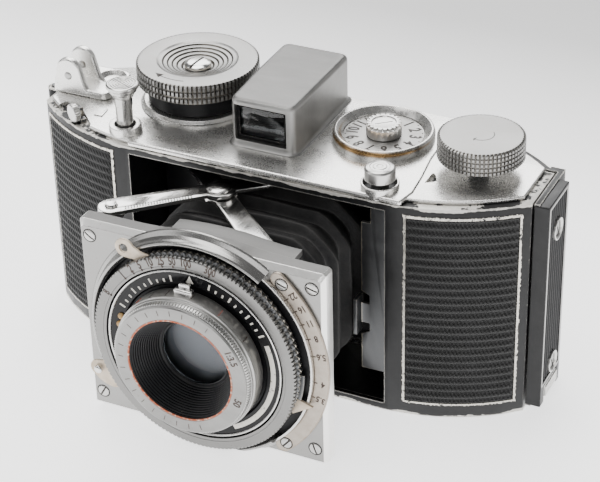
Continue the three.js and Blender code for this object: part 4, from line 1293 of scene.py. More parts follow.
def make_unlock_head():
    """A small knurled head on its side, facing forward and left."""
    head = Place("unlock_lever_head")
    outward = Vector((-0.518, -0.855, 0))
    side = Vector((0.855, -0.518, 0))

    def place(r, h, a):
        spot = outward * h + side * (r * math.cos(a)) + Vector((0, 0, r * math.sin(a)))
        return (head.cx + spot.x, head.cy + spot.y, head.cz + spot.z)

    profile = [(0, -0.75), (1.9, -0.75), (2.1, -0.55, 0.3), (2.1, 0.55, 0.3), (1.8, 0.75), (0, 0.78)]
    disc = lathe("unlock_head", profile, place, toothed_angles(24), 0.06)
    finish_piece(disc, "unlock", "satin_aluminium", BOSS_METAL, "unlock_lever_head")


BOSS_METAL = satin_aluminium("boss_metal", 0.66, (0.26, 0.34), 0.000002, 0.9, 0.9)
KNURL = ((0.06, 1.0), (0.2, 0.0), (0.72, 0.0), (0.86, 1.0))
SKIRT_BLACK = gloss_black("skirt_black", (0.3, 0.45), 0.0008)
make_advance_knob()
make_rewind_knob()
make_counter()
make_release_button()
make_fold_button()
make_unlock_head()


# ---- End strip and latch -------------------------------------------------

def facing_right(u, v, w):
    """u to the back, v up, w towards +X."""
    return (w, u, v)


def make_end_strip():
    """The door's end: a deep rail with a ribbed inlay, notched at the bottom for the latch."""
    strip = Place("end_strip")
    latch = Place("latch_slide")
    low = SHELL_END + 0.28
    notch_top = latch.z1 + 0.3
    outline = [
        (strip.y0, strip.z0), (latch.y0 - 0.25, strip.z0), (latch.y0 - 0.25, notch_top),
        (latch.y1 + 0.25, notch_top), (latch.y1 + 0.25, strip.z0), (strip.y1, strip.z0),
        (strip.y1, strip.z1), (strip.y0, strip.z1),
    ]
    inlay = (strip.y0 + 0.95, strip.y1 - 0.95, notch_top + 1.0, strip.z1 - 1.0)
    opening = [(inlay[0], inlay[2]), (inlay[1], inlay[2]), (inlay[1], inlay[3]), (inlay[0], inlay[3])]
    rail = slab("end_strip_rail", [rounded_outline(outline, 0.35, 3), opening], low, strip.x1,
                facing_right, 0.22, 3)
    finish_piece(rail, "door", "black_enamel", STRIP_ENAMEL, "end_strip")
    edges = slab("end_strip_edge", [
        rounded_outline([(inlay[0] - 0.55, inlay[2] - 0.5), (inlay[1] + 0.55, inlay[2] - 0.5),
                         (inlay[1] + 0.55, inlay[3] + 0.5), (inlay[0] - 0.55, inlay[3] + 0.5)], 0.2, 2),
        opening,
    ], strip.x1 - 0.4, strip.x1 + 0.04, facing_right, 0.06, 1)
    finish_piece(edges, "door", "bright_metal", STRIP_EDGE)
    make_inlay(strip, inlay, low)
    for name in ("end_strip_screw_top", "end_strip_screw_bottom"):
        make_strip_screw(name)


def make_inlay(strip, inlay, low):
    """Long ribs along the rail."""
    y0, y1, z0, z1 = inlay
    lines = 8
    profile = [(y0, low)]
    for k in range(lines * 8 + 1):
        v = k / (lines * 8)
        profile.append((y0 + (y1 - y0) * v, strip.x1 - 0.4 - 0.22 * math.cos(TAU * lines * v)))
    profile.append((y1, low))
    bm = bmesh.new()
    ends = [[bm.verts.new((x, y, z)) for y, x in profile] for z in (z0, z1)]
    for i in range(len(profile)):
        j = (i + 1) % len(profile)
        bm.faces.new([ends[0][i], ends[0][j], ends[1][j], ends[1][i]])
    bm.faces.new(ends[0])
    bm.faces.new(ends[1])
    finish_piece(make_object("end_strip_inlay", bm, 50), "door", "leatherette", INLAY_BLACK)


def make_strip_screw(node):
    """A slotted screw in a cup on the end strip."""
    place = Place(node)

    def around(r, h, a):
        return (h, place.cy + r * math.cos(a), place.cz + r * math.sin(a))

    low = place.x0 - 1.0
    face = place.x1 - 0.35
    cup = lathe(node + "_cup", [(1.9, low), (2.5, low), (2.5, face + 0.1), (2.25, face + 0.15),
                                (1.9, face - 0.25)],
                around, smooth_angles(64), 0.08, loop=True)
    finish_piece(cup, "door", "bright_metal", BOSS_METAL)
    head = lathe(node + "_head", [(0, low), (1.8, low), (1.8, face - 0.45), (1.3, face - 0.3),
                                  (0, face - 0.25)],
                 around, smooth_angles(48), 0.1)
    tool = block("slot", face - 0.75, face + 1, -0.22, 0.22, -3, 3, 0.02, 1)
    tool.data.transform(Matrix.Translation((0, place.cy * MM, place.cz * MM)) @ Matrix.Rotation(0.5, 4, "X"))
    finish_piece(carve(head, tool), "door", "bright_metal", RUSTY_STEEL, node)


def make_latch():
    """The ribbed latch of the back door."""
    latch = Place("latch_slide")
    parts = [block("body", latch.x0, latch.x1 - 0.35, latch.y0, latch.y1, latch.z0, latch.z1, 0.3)]
    ribs = 11
    for k in range(ribs):
        y = latch.y0 + 0.4 + (latch.y1 - latch.y0 - 0.8) * k / (ribs - 1)
        parts.append(block("rib", latch.x1 - 0.8, latch.x1, y - 0.2, y + 0.2, latch.z0 + 0.2,
                           latch.z1 - 0.3, 0.12, 2))
    finish_piece(joined("latch_thumb_piece", parts), "latch", "dark_steel", BOSS_METAL, "latch_slide")


INLAY_BLACK = gloss_black("inlay_black", (0.3, 0.42), 0.00008)
STRIP_EDGE = polished_steel("strip_edge", 0.42, (0.3, 0.42), 0.6)
RUSTY_STEEL = polished_steel("rusty_steel", 0.34, (0.35, 0.5), 1.0)
make_end_strip()
make_latch()


# ---- Lens panel and shutter ----------------------------------------------

SCREW_METAL = satin_aluminium("screw_metal", 0.55, (0.25, 0.38), 0.000004, 0.85)


def make_panel_screw(node, turn, face):
    """A slotted screw on the lens unit, in a black ring of painted shade, with painted shade at the bottom
    of its slot; turn is the angle of its slot.
    """
    place = Place(node)
    radius = place.radius

    def around(r, h, a):
        return (place.cx + r * math.cos(a), h, place.cz + r * math.sin(a))

    # A black ring in the gap round the head, as painted shade.
    seat_shade = lathe(node + "_seat", [(radius + 0.04, face + 0.1), (radius + 0.3, face + 0.1),
                                  (radius + 0.3, face - 0.03),
                                  (radius + 0.04, face - 0.03)], around, smooth_angles(40), 0.03, loop=True)
    finish_piece(seat_shade, "lens_unit", "black_lacquer", INNER_BLACK_AND_SHADE)
    top = face - 0.28
    head = lathe(node + "_head", [(0, face + 0.1), (radius, face + 0.1), (radius, top + 0.15),
                                  (radius * 0.6, top + 0.02),
                                  (0, top)], around, smooth_angles(48), 0.12)
    matrix = Matrix.Translation((place.cx * MM, 0, place.cz * MM)) @ Matrix.Rotation(math.radians(turn),
        4, "Y")
    tool = block("slot", -3, 3, top - 1, top + 0.25, -0.22, 0.22, 0.02, 1)
    tool.data.transform(matrix)
    head = carve(head, tool)
    head.data.materials.append(SCREW_METAL)
    # A black sheet at the bottom of the slot, as painted shade.
    shade = block("shade", -radius * 0.96, radius * 0.96, top + 0.2, top + 0.27, -0.23, 0.23, 0.01, 1)
    shade.data.transform(matrix)
    shade.data.materials.append(BLACK_PAINT_AND_SHADE)
    finish_piece(joined(node + "_slotted", [head, shade]), "lens_unit", "bright_metal", None, node)


def hump_height(x, y):
    """How far the panel's top rises above its flat top edge, at a place across and a depth."""
    back = max(0.0, min(1.0, (y + 44.0) / 4.0))
    radius = 25.75
    near = min(1.45, math.sqrt(max(radius ** 2 - (x - LX) ** 2, 0.0)) + LZ - PANEL_TOP)
    far = 1.1 - (x - LX - 2) ** 2 / 150
    height = near * (1 - back) + far * back
    return 0.5 * (height + math.sqrt(height ** 2 + 0.35))


def panel_section(y, inset_top, inset_side, inset_low):
    """The panel's outline at a depth, counter-clockwise from the front, with its hump on top."""
    steps = 96
    half = (PANEL.x1 - PANEL.x0) / 2
    corner = 0.5
    points = []
    for k in range(steps + 1):
        x = half - inset_side - (2 * (half - inset_side)) * k / steps
        end = max(0.0, min(1.0, (half - inset_side - abs(x)) / corner))
        rise = hump_height(x, y)
        drop = corner * (1 - math.sqrt(1 - (1 - end) ** 2))
        keep = max(0.0, min(1.0, 1 - rise / 0.9))
        points.append((x, PANEL_TOP - inset_top * keep + rise * min(1.0, end) - drop))
    points.append((-half + inset_side, PANEL_LOW + inset_low))
    points.append((half - inset_side, PANEL_LOW + inset_low))
    return points


def make_panel():
    """The lens panel: a tray with a broad front bevel and a hump behind the shutter ring."""
    front = PANEL.y0
    sections = [
        (front, 1.25, 0.75, 0.35), (front + 1.1, 0.0, 0.0, 0.0), (front + 4.0, 0.0, 0.0, 0.0),
    ]
    bm = bmesh.new()
    rings = []
    for y, top, side, low in sections:
        rings.append([bm.verts.new((x, y, z)) for x, z in panel_section(y, top, side, low)])
    inner = 1.4
    for y in (front + 4.0, front + 1.4):
        outline = panel_section(y, inner, inner, inner)
        rings.append([bm.verts.new((x, y, min(z, PANEL_TOP - inner + 0.4))) for x, z in outline])
    for first, second in zip(rings, rings[1:]):
        for i in range(len(first)):
            j = (i + 1) % len(first)
            bm.faces.new([first[i], first[j], second[j], second[i]])
    bm.faces.new(rings[0])
    bm.faces.new(rings[-1])
    tray = make_object("lens_panel_tray", bm, 24)
    bore = lathe("bore", [(0, front - 4), (13.3, front - 4), (13.3, front + 8), (0, front + 8)], on_lens,
                 smooth_angles(96), 0)
    tray = carve(tray, bore)
    edge = tray.modifiers.new("edge", "BEVEL")
    edge.width = 0.00012
    edge.segments = 2
    edge.limit_method = "ANGLE"
    edge.angle_limit = math.radians(24)
    tray.data.materials.clear()
    for material in (PANEL_METAL, PANEL_TOP_PAINTED_SHADE, PANEL_PAINTED_HIGHLIGHT):
        tray.data.materials.append(material)
    # Painted shade on the upward faces and painted highlight on the slopes and the right side, all one
    # metal.
    for face in tray.data.polygons:
        if face.normal.z > 0.95:
            face.material_index = 1
        elif face.normal.z > 0.3 or face.normal.x > 0.3:
            face.material_index = 2
    finish_piece(tray, "lens_unit", "satin_aluminium", None, "lens_panel")
    back = front + 4
    outline = [(-8 + 28 * k / 40, PANEL_TOP + hump_height(-8 + 28 * k / 40, back)) for k in range(41)]
    outline += [(20, PANEL_TOP - 1.25), (-8, PANEL_TOP - 1.25)]
    ledge = slab("panel_ledge", [outline], -front - 7.7, -back + 0.1, facing_front, 0.12, 2)
    # The ledge takes the darker copy of the panel's metal, as painted shade.
    finish_piece(ledge, "lens_unit", "satin_aluminium", PANEL_TOP_PAINTED_SHADE)
    make_front_lug(front)


def make_front_lug(front):
    """The lugs behind the panel that carry the front ends of the struts."""
    pin_y = next(j for j in frame["joints"] if j["name"] == "upper_front_arm_turn")["pos_m"][1] / MM
    pieces = []
    for z0, z1 in ((PANEL_TOP - 3.3, PANEL_TOP - 2.2), (2 * LZ - PANEL_TOP + 2.2, 2 * LZ - PANEL_TOP + 3.3)):
        outline = [(-28.0, front + 3.6), (-22.6, front + 3.6), (-22.6, pin_y)]
        outline += arc_points(-25.3, pin_y, 2.7, 0, 180, 14) + [(-28.0, pin_y)]
        pieces.append(slab("lug", [outline], z0, z1, bevel=0.2))
    finish_piece(joined("strut_lugs", pieces), "lens_unit", "satin_aluminium", PANEL_METAL)
    pins = []
    for low, high in ((PANEL_TOP - 3.0, PANEL_TOP - 0.3),
                      (2 * LZ - PANEL_TOP + 0.3, 2 * LZ - PANEL_TOP + 3.0)):
        pins.append(lathe("pin", [(0, low), (1.2, low), (1.2, high), (0, high)], upright_at(-25.3, pin_y),
                          smooth_angles(32), 0.15))
    finish_piece(joined("strut_pins", pins), "lens_unit", "bright_metal", BRIGHT)


def make_shroud():
    """The cast ring that stands on the panel, open beside the scale and cut level at the bottom."""
    reach = LZ - PANEL_LOW
    front = -47.5
    radius = 25.6
    ring = lathe("shroud_ring", [
        (radius - 1.1, -44.3), (radius + 1.6, -44.3), (radius + 1.3, -44.75), (radius + 0.5, -45.3),
        (radius + 0.15, -46.2), (radius, front + 0.5), (radius - 0.25, front + 0.1), (radius - 0.6, front),
        (radius - 0.95, front + 0.3),
    ], lambda r, h, a: clip_ring(r, h, a, reach), smooth_angles(240), 0.15, loop=True)
    ring = carve(ring, sector_tool("opening", 20, 40, -49, 54, -52, -44.4))
    finish_piece(ring, "lens_unit", "satin_aluminium", SHROUD_METAL, "shutter_housing")
    lining = lathe("shroud_lining", [
        (24.0, -44.6), (24.55, -44.6), (24.55, front + 0.5), (24.4, front + 0.5), (24.0, -45.4),
    ], lambda r, h, a: clip_ring(r, h, a, reach), smooth_angles(200), 0.05, loop=True)
    lining = carve(lining, sector_tool("opening", 20, 40, -49, 57, -52, -44.9))
    finish_piece(lining, "lens_unit", "black_lacquer", INNER_BLACK_AND_SHADE)
    floor = lathe("shutter_floor", [
        (10.5, -39.6), (13.2, -39.6), (13.2, -44.3), (25.25, -44.3), (25.25, -44.9), (20.5, -45.3),
        (20.0, -46.0),
        (20.0, -48.4), (10.5, -48.4),
    ], lambda r, h, a: clip_ring(r, h, a, reach), smooth_angles(200), 0.1, loop=True)
    finish_piece(floor, "lens_unit", "black_lacquer", INNER_BLACK_AND_SHADE)
    arc = slab("scale_lip", [arc_points(0, 0, 25.75, -50, 54.5, 60) + arc_points(0, 0, 25.2, 54.5, -50, 60)],
               44.3, 46.3, on_lens_face, 0.12, 2)
    finish_piece(arc, "lens_unit", "bright_metal", RING_METAL)
    make_cam_ring()


def clip_ring(r, h, a, reach):
    """A point on a lens-axis ring, held above the panel's lower edge."""
    x, y, z = on_lens(r, h, a)
    return (x, y, max(LZ - reach, z))


def sector_tool(name, inner, outer, from_deg, to_deg, front, back):
    """Part of a flat ring about the lens axis, between two depths, to cut with."""
    outline = arc_points(0, 0, outer, from_deg, to_deg, 40) + arc_points(0, 0, inner, to_deg, from_deg, 40)
    return slab(name, [outline], -back, -front, on_lens_face, 0.01, 1)


def make_cam_ring():
    """The serrated cam that shows between the speed ring and the shroud."""
    teeth = toothed_angles(96, ((0.0, 1.0), (0.25, 0.35), (0.5, 0.0), (0.75, 0.35)))
    ring = lathe("cam_ring", [
        (21.2, -45.9), (23.3, -45.9, 0.3), (23.55, -46.3, 0.8), (23.5, -46.6, 0.5), (23.3, -46.75, 0.2),
        (23.45, -46.9, 0.3), (23.5, -47.3, 0.8), (22.9, -47.6, 0.5), (21.2, -47.6),
    ], on_lens, teeth, 0.03, loop=True, smooth_angle=50)
    finish_piece(ring, "lens_unit", "dark_steel", CAM_METAL)


CAM_METAL = dark_steel("cam_metal", 0.16)
SHROUD_METAL = satin_aluminium("shroud_metal", 0.34, (0.2, 0.3), 0.000003, 0.9)


def make_speed_ring():
    """The speed ring with its numbers and ticks."""
    ring = SPEEDS
    outer = ring.x1 - LX
    inner = 20.65
    profile = [
        (inner, ring.y1), (outer, ring.y1, 0.32), (outer, ring.y0 + 0.2, 0.32), (outer - 0.25, ring.y0, 0.2),
        (outer - 0.6, ring.y0), (inner + 0.75, ring.y0), (inner + 0.7, ring.y0 + 0.12),
        (inner + 0.55, ring.y0 + 0.12),
        (inner + 0.5, ring.y0), (inner, ring.y0 + 0.1),
    ]
    ring_obj = lathe("speed_dial", profile, on_lens, toothed_angles(150), 0.05, loop=True)
    finish_piece(ring_obj, "speeds", "bright_metal", DIAL_METAL, "speed_ring")
    labels = [("1", 134.4), ("2", 127), ("5", 120.4), ("10", 113.5), ("25", 106.2), ("50", 99.2),
              ("100", 91.2),
              ("300", 77.0)]
    marks = [(text, 22.45, degrees, 1.95, -90) for text, degrees in labels] + [("B", 22.4, 151.6, 1.7, -90)]
    numbers = lettered("speed_numbers", marks, on_lens_face, -ring.y0 + 0.015, 0.66)
    finish_piece(numbers, "speeds", "black_lacquer", ENGRAVED)
    strips = [(21.0, 21.6, degrees, 0.34) for text, degrees in labels] + [(21.0, 21.6, 151.6, 0.34)]
    ticks = bars("speed_ticks", strips, on_lens_face, -ring.y0 + 0.02)
    finish_piece(ticks, "speeds", "black_lacquer", ENGRAVED)


ENGRAVED = paint("engraved_brown", (0.03, 0.015, 0.009), 0.5, (0.07, 0.035, 0.02), 1800)
DIAL_METAL = satin_aluminium("dial_metal", 0.22, (0.26, 0.38), 0.00001, 0.9)


def make_face():
    """The glossy black face inside the speed ring, with its index, scale line and guard ring."""
    front = -49.1
    face = lathe("shutter_face", [
        (16.6, -47.9), (20.3, -47.9), (20.3, front + 0.15), (19.9, front), (17.0, front),
        (16.6, front + 0.3),
    ], on_lens, smooth_angles(200), 0.08, loop=True)
    finish_piece(face, "lens_unit", "black_lacquer", LACQUER)
    lip = lathe("face_rim", [
        (19.75, front + 0.1), (20.25, front + 0.1), (20.25, front - 0.28), (20.0, front - 0.4),
        (19.75, front - 0.2),
    ], on_lens, smooth_angles(200), 0.06, loop=True)
    finish_piece(lip, "lens_unit", "bright_metal", RING_METAL)
    level = -front + 0.02
    triangle = slab("speed_index", [[(-0.85, 17.6), (0.85, 17.6), (0, 19.3)]], -front - 0.05, level,
                    on_lens_face,
                    0.01, 1)
    line = arc_points(0, 0, 18.85, 22, -62, 40) + arc_points(0, 0, 17.75, -62, 22, 40)
    sweep = slab("face_line", [line], -front - 0.05, level, on_lens_face, 0.01, 1)
    finish_piece(joined("face_marks", [triangle, sweep]), "lens_unit", "bright_metal", CHIPPED_WHITE)
    dots = []
    for k in range(10):
        dots.append((17.5, 18.9 if k % 3 == 0 else 18.3, 76 - 5.2 * k, 0.42))
        dots.append((17.5, 18.9 if k % 3 == 0 else 18.3, 104 + 5.6 * k, 0.42))
    finish_piece(bars("face_ticks", dots, on_lens_face, level), "lens_unit", "bright_metal", CHIPPED_WHITE)


def chipped_white(name):
    """White paint with chips missing."""
    n = Nodes(name)
    lost = n.ramp(n.noise(900, 5, 0.7), [(0.62, 0.0), (0.66, 1.0)])
    n.set(Base_Color=n.mix(lost, (0.74, 0.71, 0.64), (0.03, 0.02, 0.015)))
    n.set(Roughness=n.ramp(n.noise(1200), [(0.3, 0.4), (0.7, 0.6)]))
    n.bump(n.noise(1300, 4), 0.00002, 0.6)
    return n.material


CHIPPED_WHITE = chipped_white("chipped_white")


def make_focus_mount():
    """The silver focusing barrel, its fine serration and distance marks, and the name ring."""
    barrel = Place("focus_ring")
    ring = Place("name_ring")
    body = lathe("focus_barrel", [
        (12.4, barrel.y1), (16.2, barrel.y1), (16.2, -53.1), (15.9, -53.3), (15.9, -54.0, 0.0),
        (12.4, -54.0),
    ], on_lens, smooth_angles(180), 0.1, loop=True)
    finish_piece(body, "focus", "bright_metal", BARREL_METAL, "focus_ring")
    grip = lathe("focus_serration", [
        (12.4, -54.05), (15.75, -54.05), (15.8, -54.15, 0.3), (15.6, -55.0, 0.3), (15.3, -55.1),
        (12.4, -55.1),
    ], on_lens, toothed_angles(150), 0.03, loop=True)
    finish_piece(grip, "focus", "bright_metal", BARREL_METAL)
    front = ring.y0
    plate = lathe("name_plate", [
        (12.1, -55.0), (15.3, -55.05), (15.3, front + 0.25), (15.0, front), (12.35, front - 0.0),
        (12.15, front + 0.1),
        (12.15, -55.2),
    ], on_lens, smooth_angles(180), 0.06, loop=True)
    finish_piece(plate, "focus", "bright_metal", NAME_METAL, "name_ring")
    line = lathe("name_line", [(11.85, -54.9), (12.2, -54.9), (12.2, front + 0.02), (11.85, front + 0.05)],
                 on_lens, smooth_angles(160), 0.03, loop=True)
    finish_piece(line, "focus", "bright_metal", RED_LINE)
    make_tunnel(front)
    make_focus_numbers()
    make_focus_stops()


def make_tunnel(front):
    """The ribbed black tunnel in front of the glass."""
    profile = [(11.9, front + 0.2)]
    steps = 13
    for k in range(steps):
        r = 11.6 - 0.27 * k
        y = front + 0.4 + 0.5 * k
        profile += [(r, y), (r, y + 0.3), (r - 0.16, y + 0.32)]
    end = front + 0.4 + 0.5 * steps
    profile += [(7.9, end), (7.9, end + 0.8), (12.1, end + 0.8), (12.1, front + 0.3)]
    tunnel = lathe("lens_tunnel", profile, on_lens, smooth_angles(180), 0.03, loop=True)
    finish_piece(tunnel, "focus", "black_lacquer", TUNNEL_BLACK)
    edge = end + 0.5
    glass = [(7.85 * k / 14, edge + 0.7 - 0.9 * (1 - (k / 14) ** 2)) for k in range(15)]
    glass += [(7.85 * (1 - k / 14), edge - 0.9 * (1 - (1 - k / 14) ** 2)) for k in range(15)]
    element = lathe("front_element", glass, on_lens, smooth_angles(128), 0.0, smooth_angle=50)
    finish_piece(element, "focus", "glass", COATED_GLASS, "front_lens")
    for name, radius, depth in (("retainer_front", 7.9, edge - 0.5), ("retainer_rear", 6.8, edge + 2.2)):
        ring = lathe(name, [(radius - 0.35, depth), (radius + 0.1, depth), (radius + 0.1, depth + 0.4),
                            (radius - 0.35, depth + 0.4)], on_lens, smooth_angles(96), 0.1, loop=True)
        finish_piece(ring, "focus", "black_lacquer", RETAINER_BLACK)
    make_lens_depth(edge + 1.6)


def make_lens_depth(start):
    """The black cell behind the front glass, ending in the inner glass, made grey by a painted glow."""
    cell = lathe("lens_cell", [
        (8.3, start), (7.2, start + 0.3), (6.9, start + 1.2), (5.4, start + 1.6), (5.2, start + 2.6),
        (8.3, start + 2.6),
    ], on_lens, smooth_angles(96), 0.05, loop=True)
    finish_piece(cell, "lens_unit", "black_lacquer", TUNNEL_BLACK)
    disc = lathe("inner_glass", [(0, start + 2.3), (5.5, start + 2.5), (5.5, start + 2.7),
                                 (0, start + 2.7)], on_lens,
                 smooth_angles(96), 0)
    finish_piece(disc, "lens_unit", "glass", PAINTED_GLOW_GLASS)


def make_focus_stops():
    """The small stop block on the barrel and the brass screws beside it."""
    stop = block("stop", -2.0, 2.1, -51.9, -50.1, LZ + 14.9, LZ + 17.3, 0.35, 3)
    tongue = block("tongue", -1.2, 1.3, -51.0, -50.0, LZ + 17.0, LZ + 18.2, 0.25, 2)
    finish_piece(joined("focus_stop", [stop, tongue]), "focus", "bright_metal", RING_METAL)
    screws = []
    for degrees in (163, 170):
        a = math.radians(degrees)
        x, z = LX + 17.6 * math.cos(a), LZ + 17.6 * math.sin(a)
        around = lambda r, h, t, x=x, z=z: (x + r * math.cos(t), h, z + r * math.sin(t))
        screws.append(lathe("stop_screw", [(0, -49.0), (0.75, -49.0), (0.75, -49.5), (0.4, -49.75),
                                           (0, -49.75)], around,
                            smooth_angles(28), 0.12))
    finish_piece(joined("face_screws", screws), "lens_unit", "worn_brass", BRASS)


def make_focus_numbers():
    """Numerals on the barrel's side, read from in front of it, and a few on the name ring."""
    def on_barrel(u, v, w):
        a = math.atan2(v, u)
        lift = math.hypot(u, v) - 100
        return on_lens(16.2 + w, -51.5 - lift, a)

    black = [("5", 100, 104, 2.1, -90), ("4", 100, 84, 2.1, -90), ("2", 100, 34, 2.1, -90),
             ("7", 100, 118, 2.1, -90)]
    red = [("10", 100, 132, 2.1, -90), ("3", 100, 60, 2.1, -90)]
    finish_piece(lettered("distance_numbers", black, on_barrel, 0.03, 1.0), "focus", "black_lacquer",
                 ENGRAVED)
    finish_piece(lettered("distance_numbers_red", red, on_barrel, 0.03, 1.0), "focus", "black_lacquer",
                 RED_PAINT)
    name_ring = Place("name_ring")
    marks = [("1:3.5", 13.75, 28, 1.7, -90), ("50", 13.75, -18, 1.7, -90)]
    digits = lettered("ring_numbers", marks, on_lens_face, -name_ring.y0 + 0.015, 0.85)
    finish_piece(digits, "focus", "black_lacquer", ENGRAVED)
    spots = [(13.2, 14.4, degrees, 0.16) for degrees in range(60, 300, 12)]
    finish_piece(bars("ring_ticks", spots, on_lens_face, -name_ring.y0 + 0.02), "focus",
                 "black_lacquer", ENGRAVED)


BARREL_METAL = satin_aluminium("barrel_metal", 0.46, (0.26, 0.38), 0.00001, 0.66, 0.9)
NAME_METAL = satin_aluminium("name_metal", 0.30, (0.26, 0.38), 0.000005, 0.7, 0.85)
BRASS = paint("brass_screw", (0.42, 0.24, 0.07), 0.3, (0.6, 0.42, 0.2))
RED_LINE = paint("red_line", (0.42, 0.09, 0.03), 0.5, (0.62, 0.5, 0.4))
TUNNEL_BLACK = gloss_black("tunnel_black", (0.28, 0.4), 0.00005)


def coated_glass(name):
    """Polished glass over a dark interior, with faint dust."""
    n = Nodes(name)
    dust = n.noise(420, 5, 0.7)
    n.set(Base_Color=n.mix(n.ramp(dust, [(0.5, 0.0), (0.9, 1.0)]), (0.86, 0.89, 0.93), (0.7, 0.72, 0.76)))
    n.set(Roughness=n.ramp(dust, [(0.5, 0.0), (0.9, 0.02)]))
    n.set(Transmission_Weight=1.0, IOR=1.2)
    return n.material


def smoked_glass(name):
    """The glass deep in the lens: nearly black, with a painted glow of its own that makes it look grey."""
    n = Nodes(name)
    cloud = n.noise(140, 3, 0.5)
    n.set(Base_Color=n.mix(cloud, (0.01, 0.0105, 0.0115), (0.014, 0.0146, 0.0156)))
    # Painted glow: the emission, not the near-black colour, makes this glass grey.
    n.set(Emission_Color=n.mix(cloud, (0.10, 0.105, 0.115), (0.14, 0.146, 0.156)), Emission_Strength=0.9)
    n.set(Roughness=n.ramp(cloud, [(0.3, 0.25), (0.7, 0.35)]))
    return n.material


COATED_GLASS = coated_glass("coated_glass")
PAINTED_GLOW_GLASS = smoked_glass("smoked_glass")
RETAINER_BLACK = gloss_black("retainer_black", (0.08, 0.16), 0.00005)


def make_aperture_scale():
    """The crescent scale of stops and its two screws."""
    scale = Place("aperture_scale")
    inner, outer = 25.8, 29.1
    middle = (inner + outer) / 2
    half = (outer - inner) / 2
    reach = 49.0
    end = math.radians(reach)
    outline = arc_points(0, 0, outer, -reach, reach, 48)
    tip = (middle * math.cos(end), middle * math.sin(end))
    outline += arc_points(tip[0], tip[1], half, reach, reach + 180, 14)[1:-1]
    outline += arc_points(0, 0, inner, reach, -reach, 48)
    tip = (middle * math.cos(end), -middle * math.sin(end))
    outline += arc_points(tip[0], tip[1], half, -reach + 180, -reach + 360, 14)[1:-1]
    plate = slab("aperture_plate", [outline], -scale.y1, -scale.y0, on_lens_face, 0.12, 2)
    finish_piece(plate, "lens_unit", "scale_metal", SCALE, "aperture_scale")
    labels = [("3.5", -13.1), ("4", -4.8), ("5.6", 9.4), ("8", 18.5), ("11", 26.0), ("16", 33.0),
              ("22", 39.8)]
    marks = [(text, 27.75, degrees, 1.55, 180) for text, degrees in labels]
    numbers = lettered("aperture_numbers", marks, on_lens_face, -scale.y0 + 0.015, 0.85)
    finish_piece(numbers, "lens_unit", "black_lacquer", ENGRAVED)
    strips = [(25.9, 26.5, degrees, 0.3) for text, degrees in labels]
    finish_piece(bars("aperture_ticks", strips, on_lens_face, -scale.y0 + 0.02), "lens_unit",
                 "black_lacquer",
                 ENGRAVED)
    make_panel_screw("scale_screw_upper", 20, scale.y0)
    make_panel_screw("scale_screw_lower", -50, scale.y0)


def turned_to(degrees):
    """Places a shape drawn along +X from the lens axis at an angle."""
    c, s = math.cos(math.radians(degrees)), math.sin(math.radians(degrees))
    return lambda u, v, w: (LX + u * c - v * s, -w, LZ + u * s + v * c)


def make_levers():
    """The cocking lever, the release lever with its pin, and the aperture pointer."""
    cocking = Place("cocking_lever")
    outline = [(21, -4.6), (22.8, -5.2), (24.3, -3.9)] + arc_points(26.6, -1.1, 2.2, -105, 140, 26)
    outline += [(23.9, -0.9), (22.8, -1.9), (21, -1.9)]
    arm = slab("cocking_arm", [outline, circle_points(26.7, -0.9, 1.0, 28)], -cocking.y1, -cocking.y0,
               turned_to(128),
               0.14)
    finish_piece(arm, "cocking", "bright_metal", CREAM_METAL, "cocking_lever")
    release = Place("shutter_release_lever")
    outline = [(21.5, -2.2), (25, -2.7)] + arc_points(26.6, -1.0, 2.1, -115, 30, 20)
    outline += [(28.0, 1.4), (27.0, 3.0), (25.6, 4.1), (23.8, 4.6), (21.5, 3.6)]
    lever = slab("release_arm", [outline], 47.75, 48.2, turned_to(-153.5), 0.12)
    angle = math.radians(-155.8)
    px, pz = LX + 26.3 * math.cos(angle), LZ + 26.3 * math.sin(angle)
    pin = lathe("release_pin", [(0, -47.8), (0.95, -47.8), (0.95, release.y0 + 0.3), (0.6, release.y0),
                                (0, release.y0)],
                lambda r, h, a: (px + r * math.cos(a), h, pz + r * math.sin(a)), smooth_angles(36), 0.2)
    finish_piece(lever, "shutter_release", "bright_metal", CREAM_METAL, "shutter_release_lever")
    finish_piece(pin, "shutter_release", "bright_metal", BRIGHT)
    pointer = Place("aperture_pointer")
    tip = slab("pointer_tip", [[(23.1, -4.7), (27.0, -0.6), (22.9, -0.3)]], -pointer.y1, -pointer.y0,
               turned_to(-15), 0.1)
    slider = arc_points(0, 0, 24.15, -2, 14.5, 12) + arc_points(0, 0, 22.2, 14.5, -2, 12)
    slide = slab("pointer_slide", [slider], -pointer.y1, -pointer.y0 - 0.1, turned_to(-15), 0.08)
    slide.data.materials.append(CAM_METAL)
    tip.data.materials.append(CREAM_METAL)
    finish_piece(joined("pointer", [tip, slide]), "aperture", "bright_metal", None, "aperture_pointer")


def cream_metal(name):
    """Thin plating that has yellowed and lost its shine."""
    n = Nodes(name)
    stain = n.noise(420, 5, 0.65)
    edge = n.ramp(n.math("ADD", n.math("MULTIPLY", n.edges(0.0003), 1.4),
                         n.math("MULTIPLY", n.noise(900), 0.3)),
                  [(0.3, 0.0), (0.5, 1.0)])
    base = n.mix(n.ramp(stain, [(0.35, 0.0), (0.75, 1.0)]), (0.66, 0.57, 0.46), (0.50, 0.41, 0.31))
    n.set(Base_Color=n.mix(edge, base, (0.24, 0.14, 0.06)), Metallic=0.35)
    n.set(Roughness=n.ramp(stain, [(0.3, 0.4), (0.7, 0.6)]))
    n.bump(n.noise(1600, 3), 0.00002, 0.5)
    return n.material


CREAM_METAL = cream_metal("cream_metal")
for place_name, turn in (("upper_left", 35), ("upper_right", 15), ("lower_left", -60), ("lower_right", 70)):
    make_panel_screw("panel_screw_" + place_name, turn, PANEL.y0)
make_panel()
make_shroud()
make_speed_ring()
make_face()
make_focus_mount()
make_aperture_scale()
make_levers()


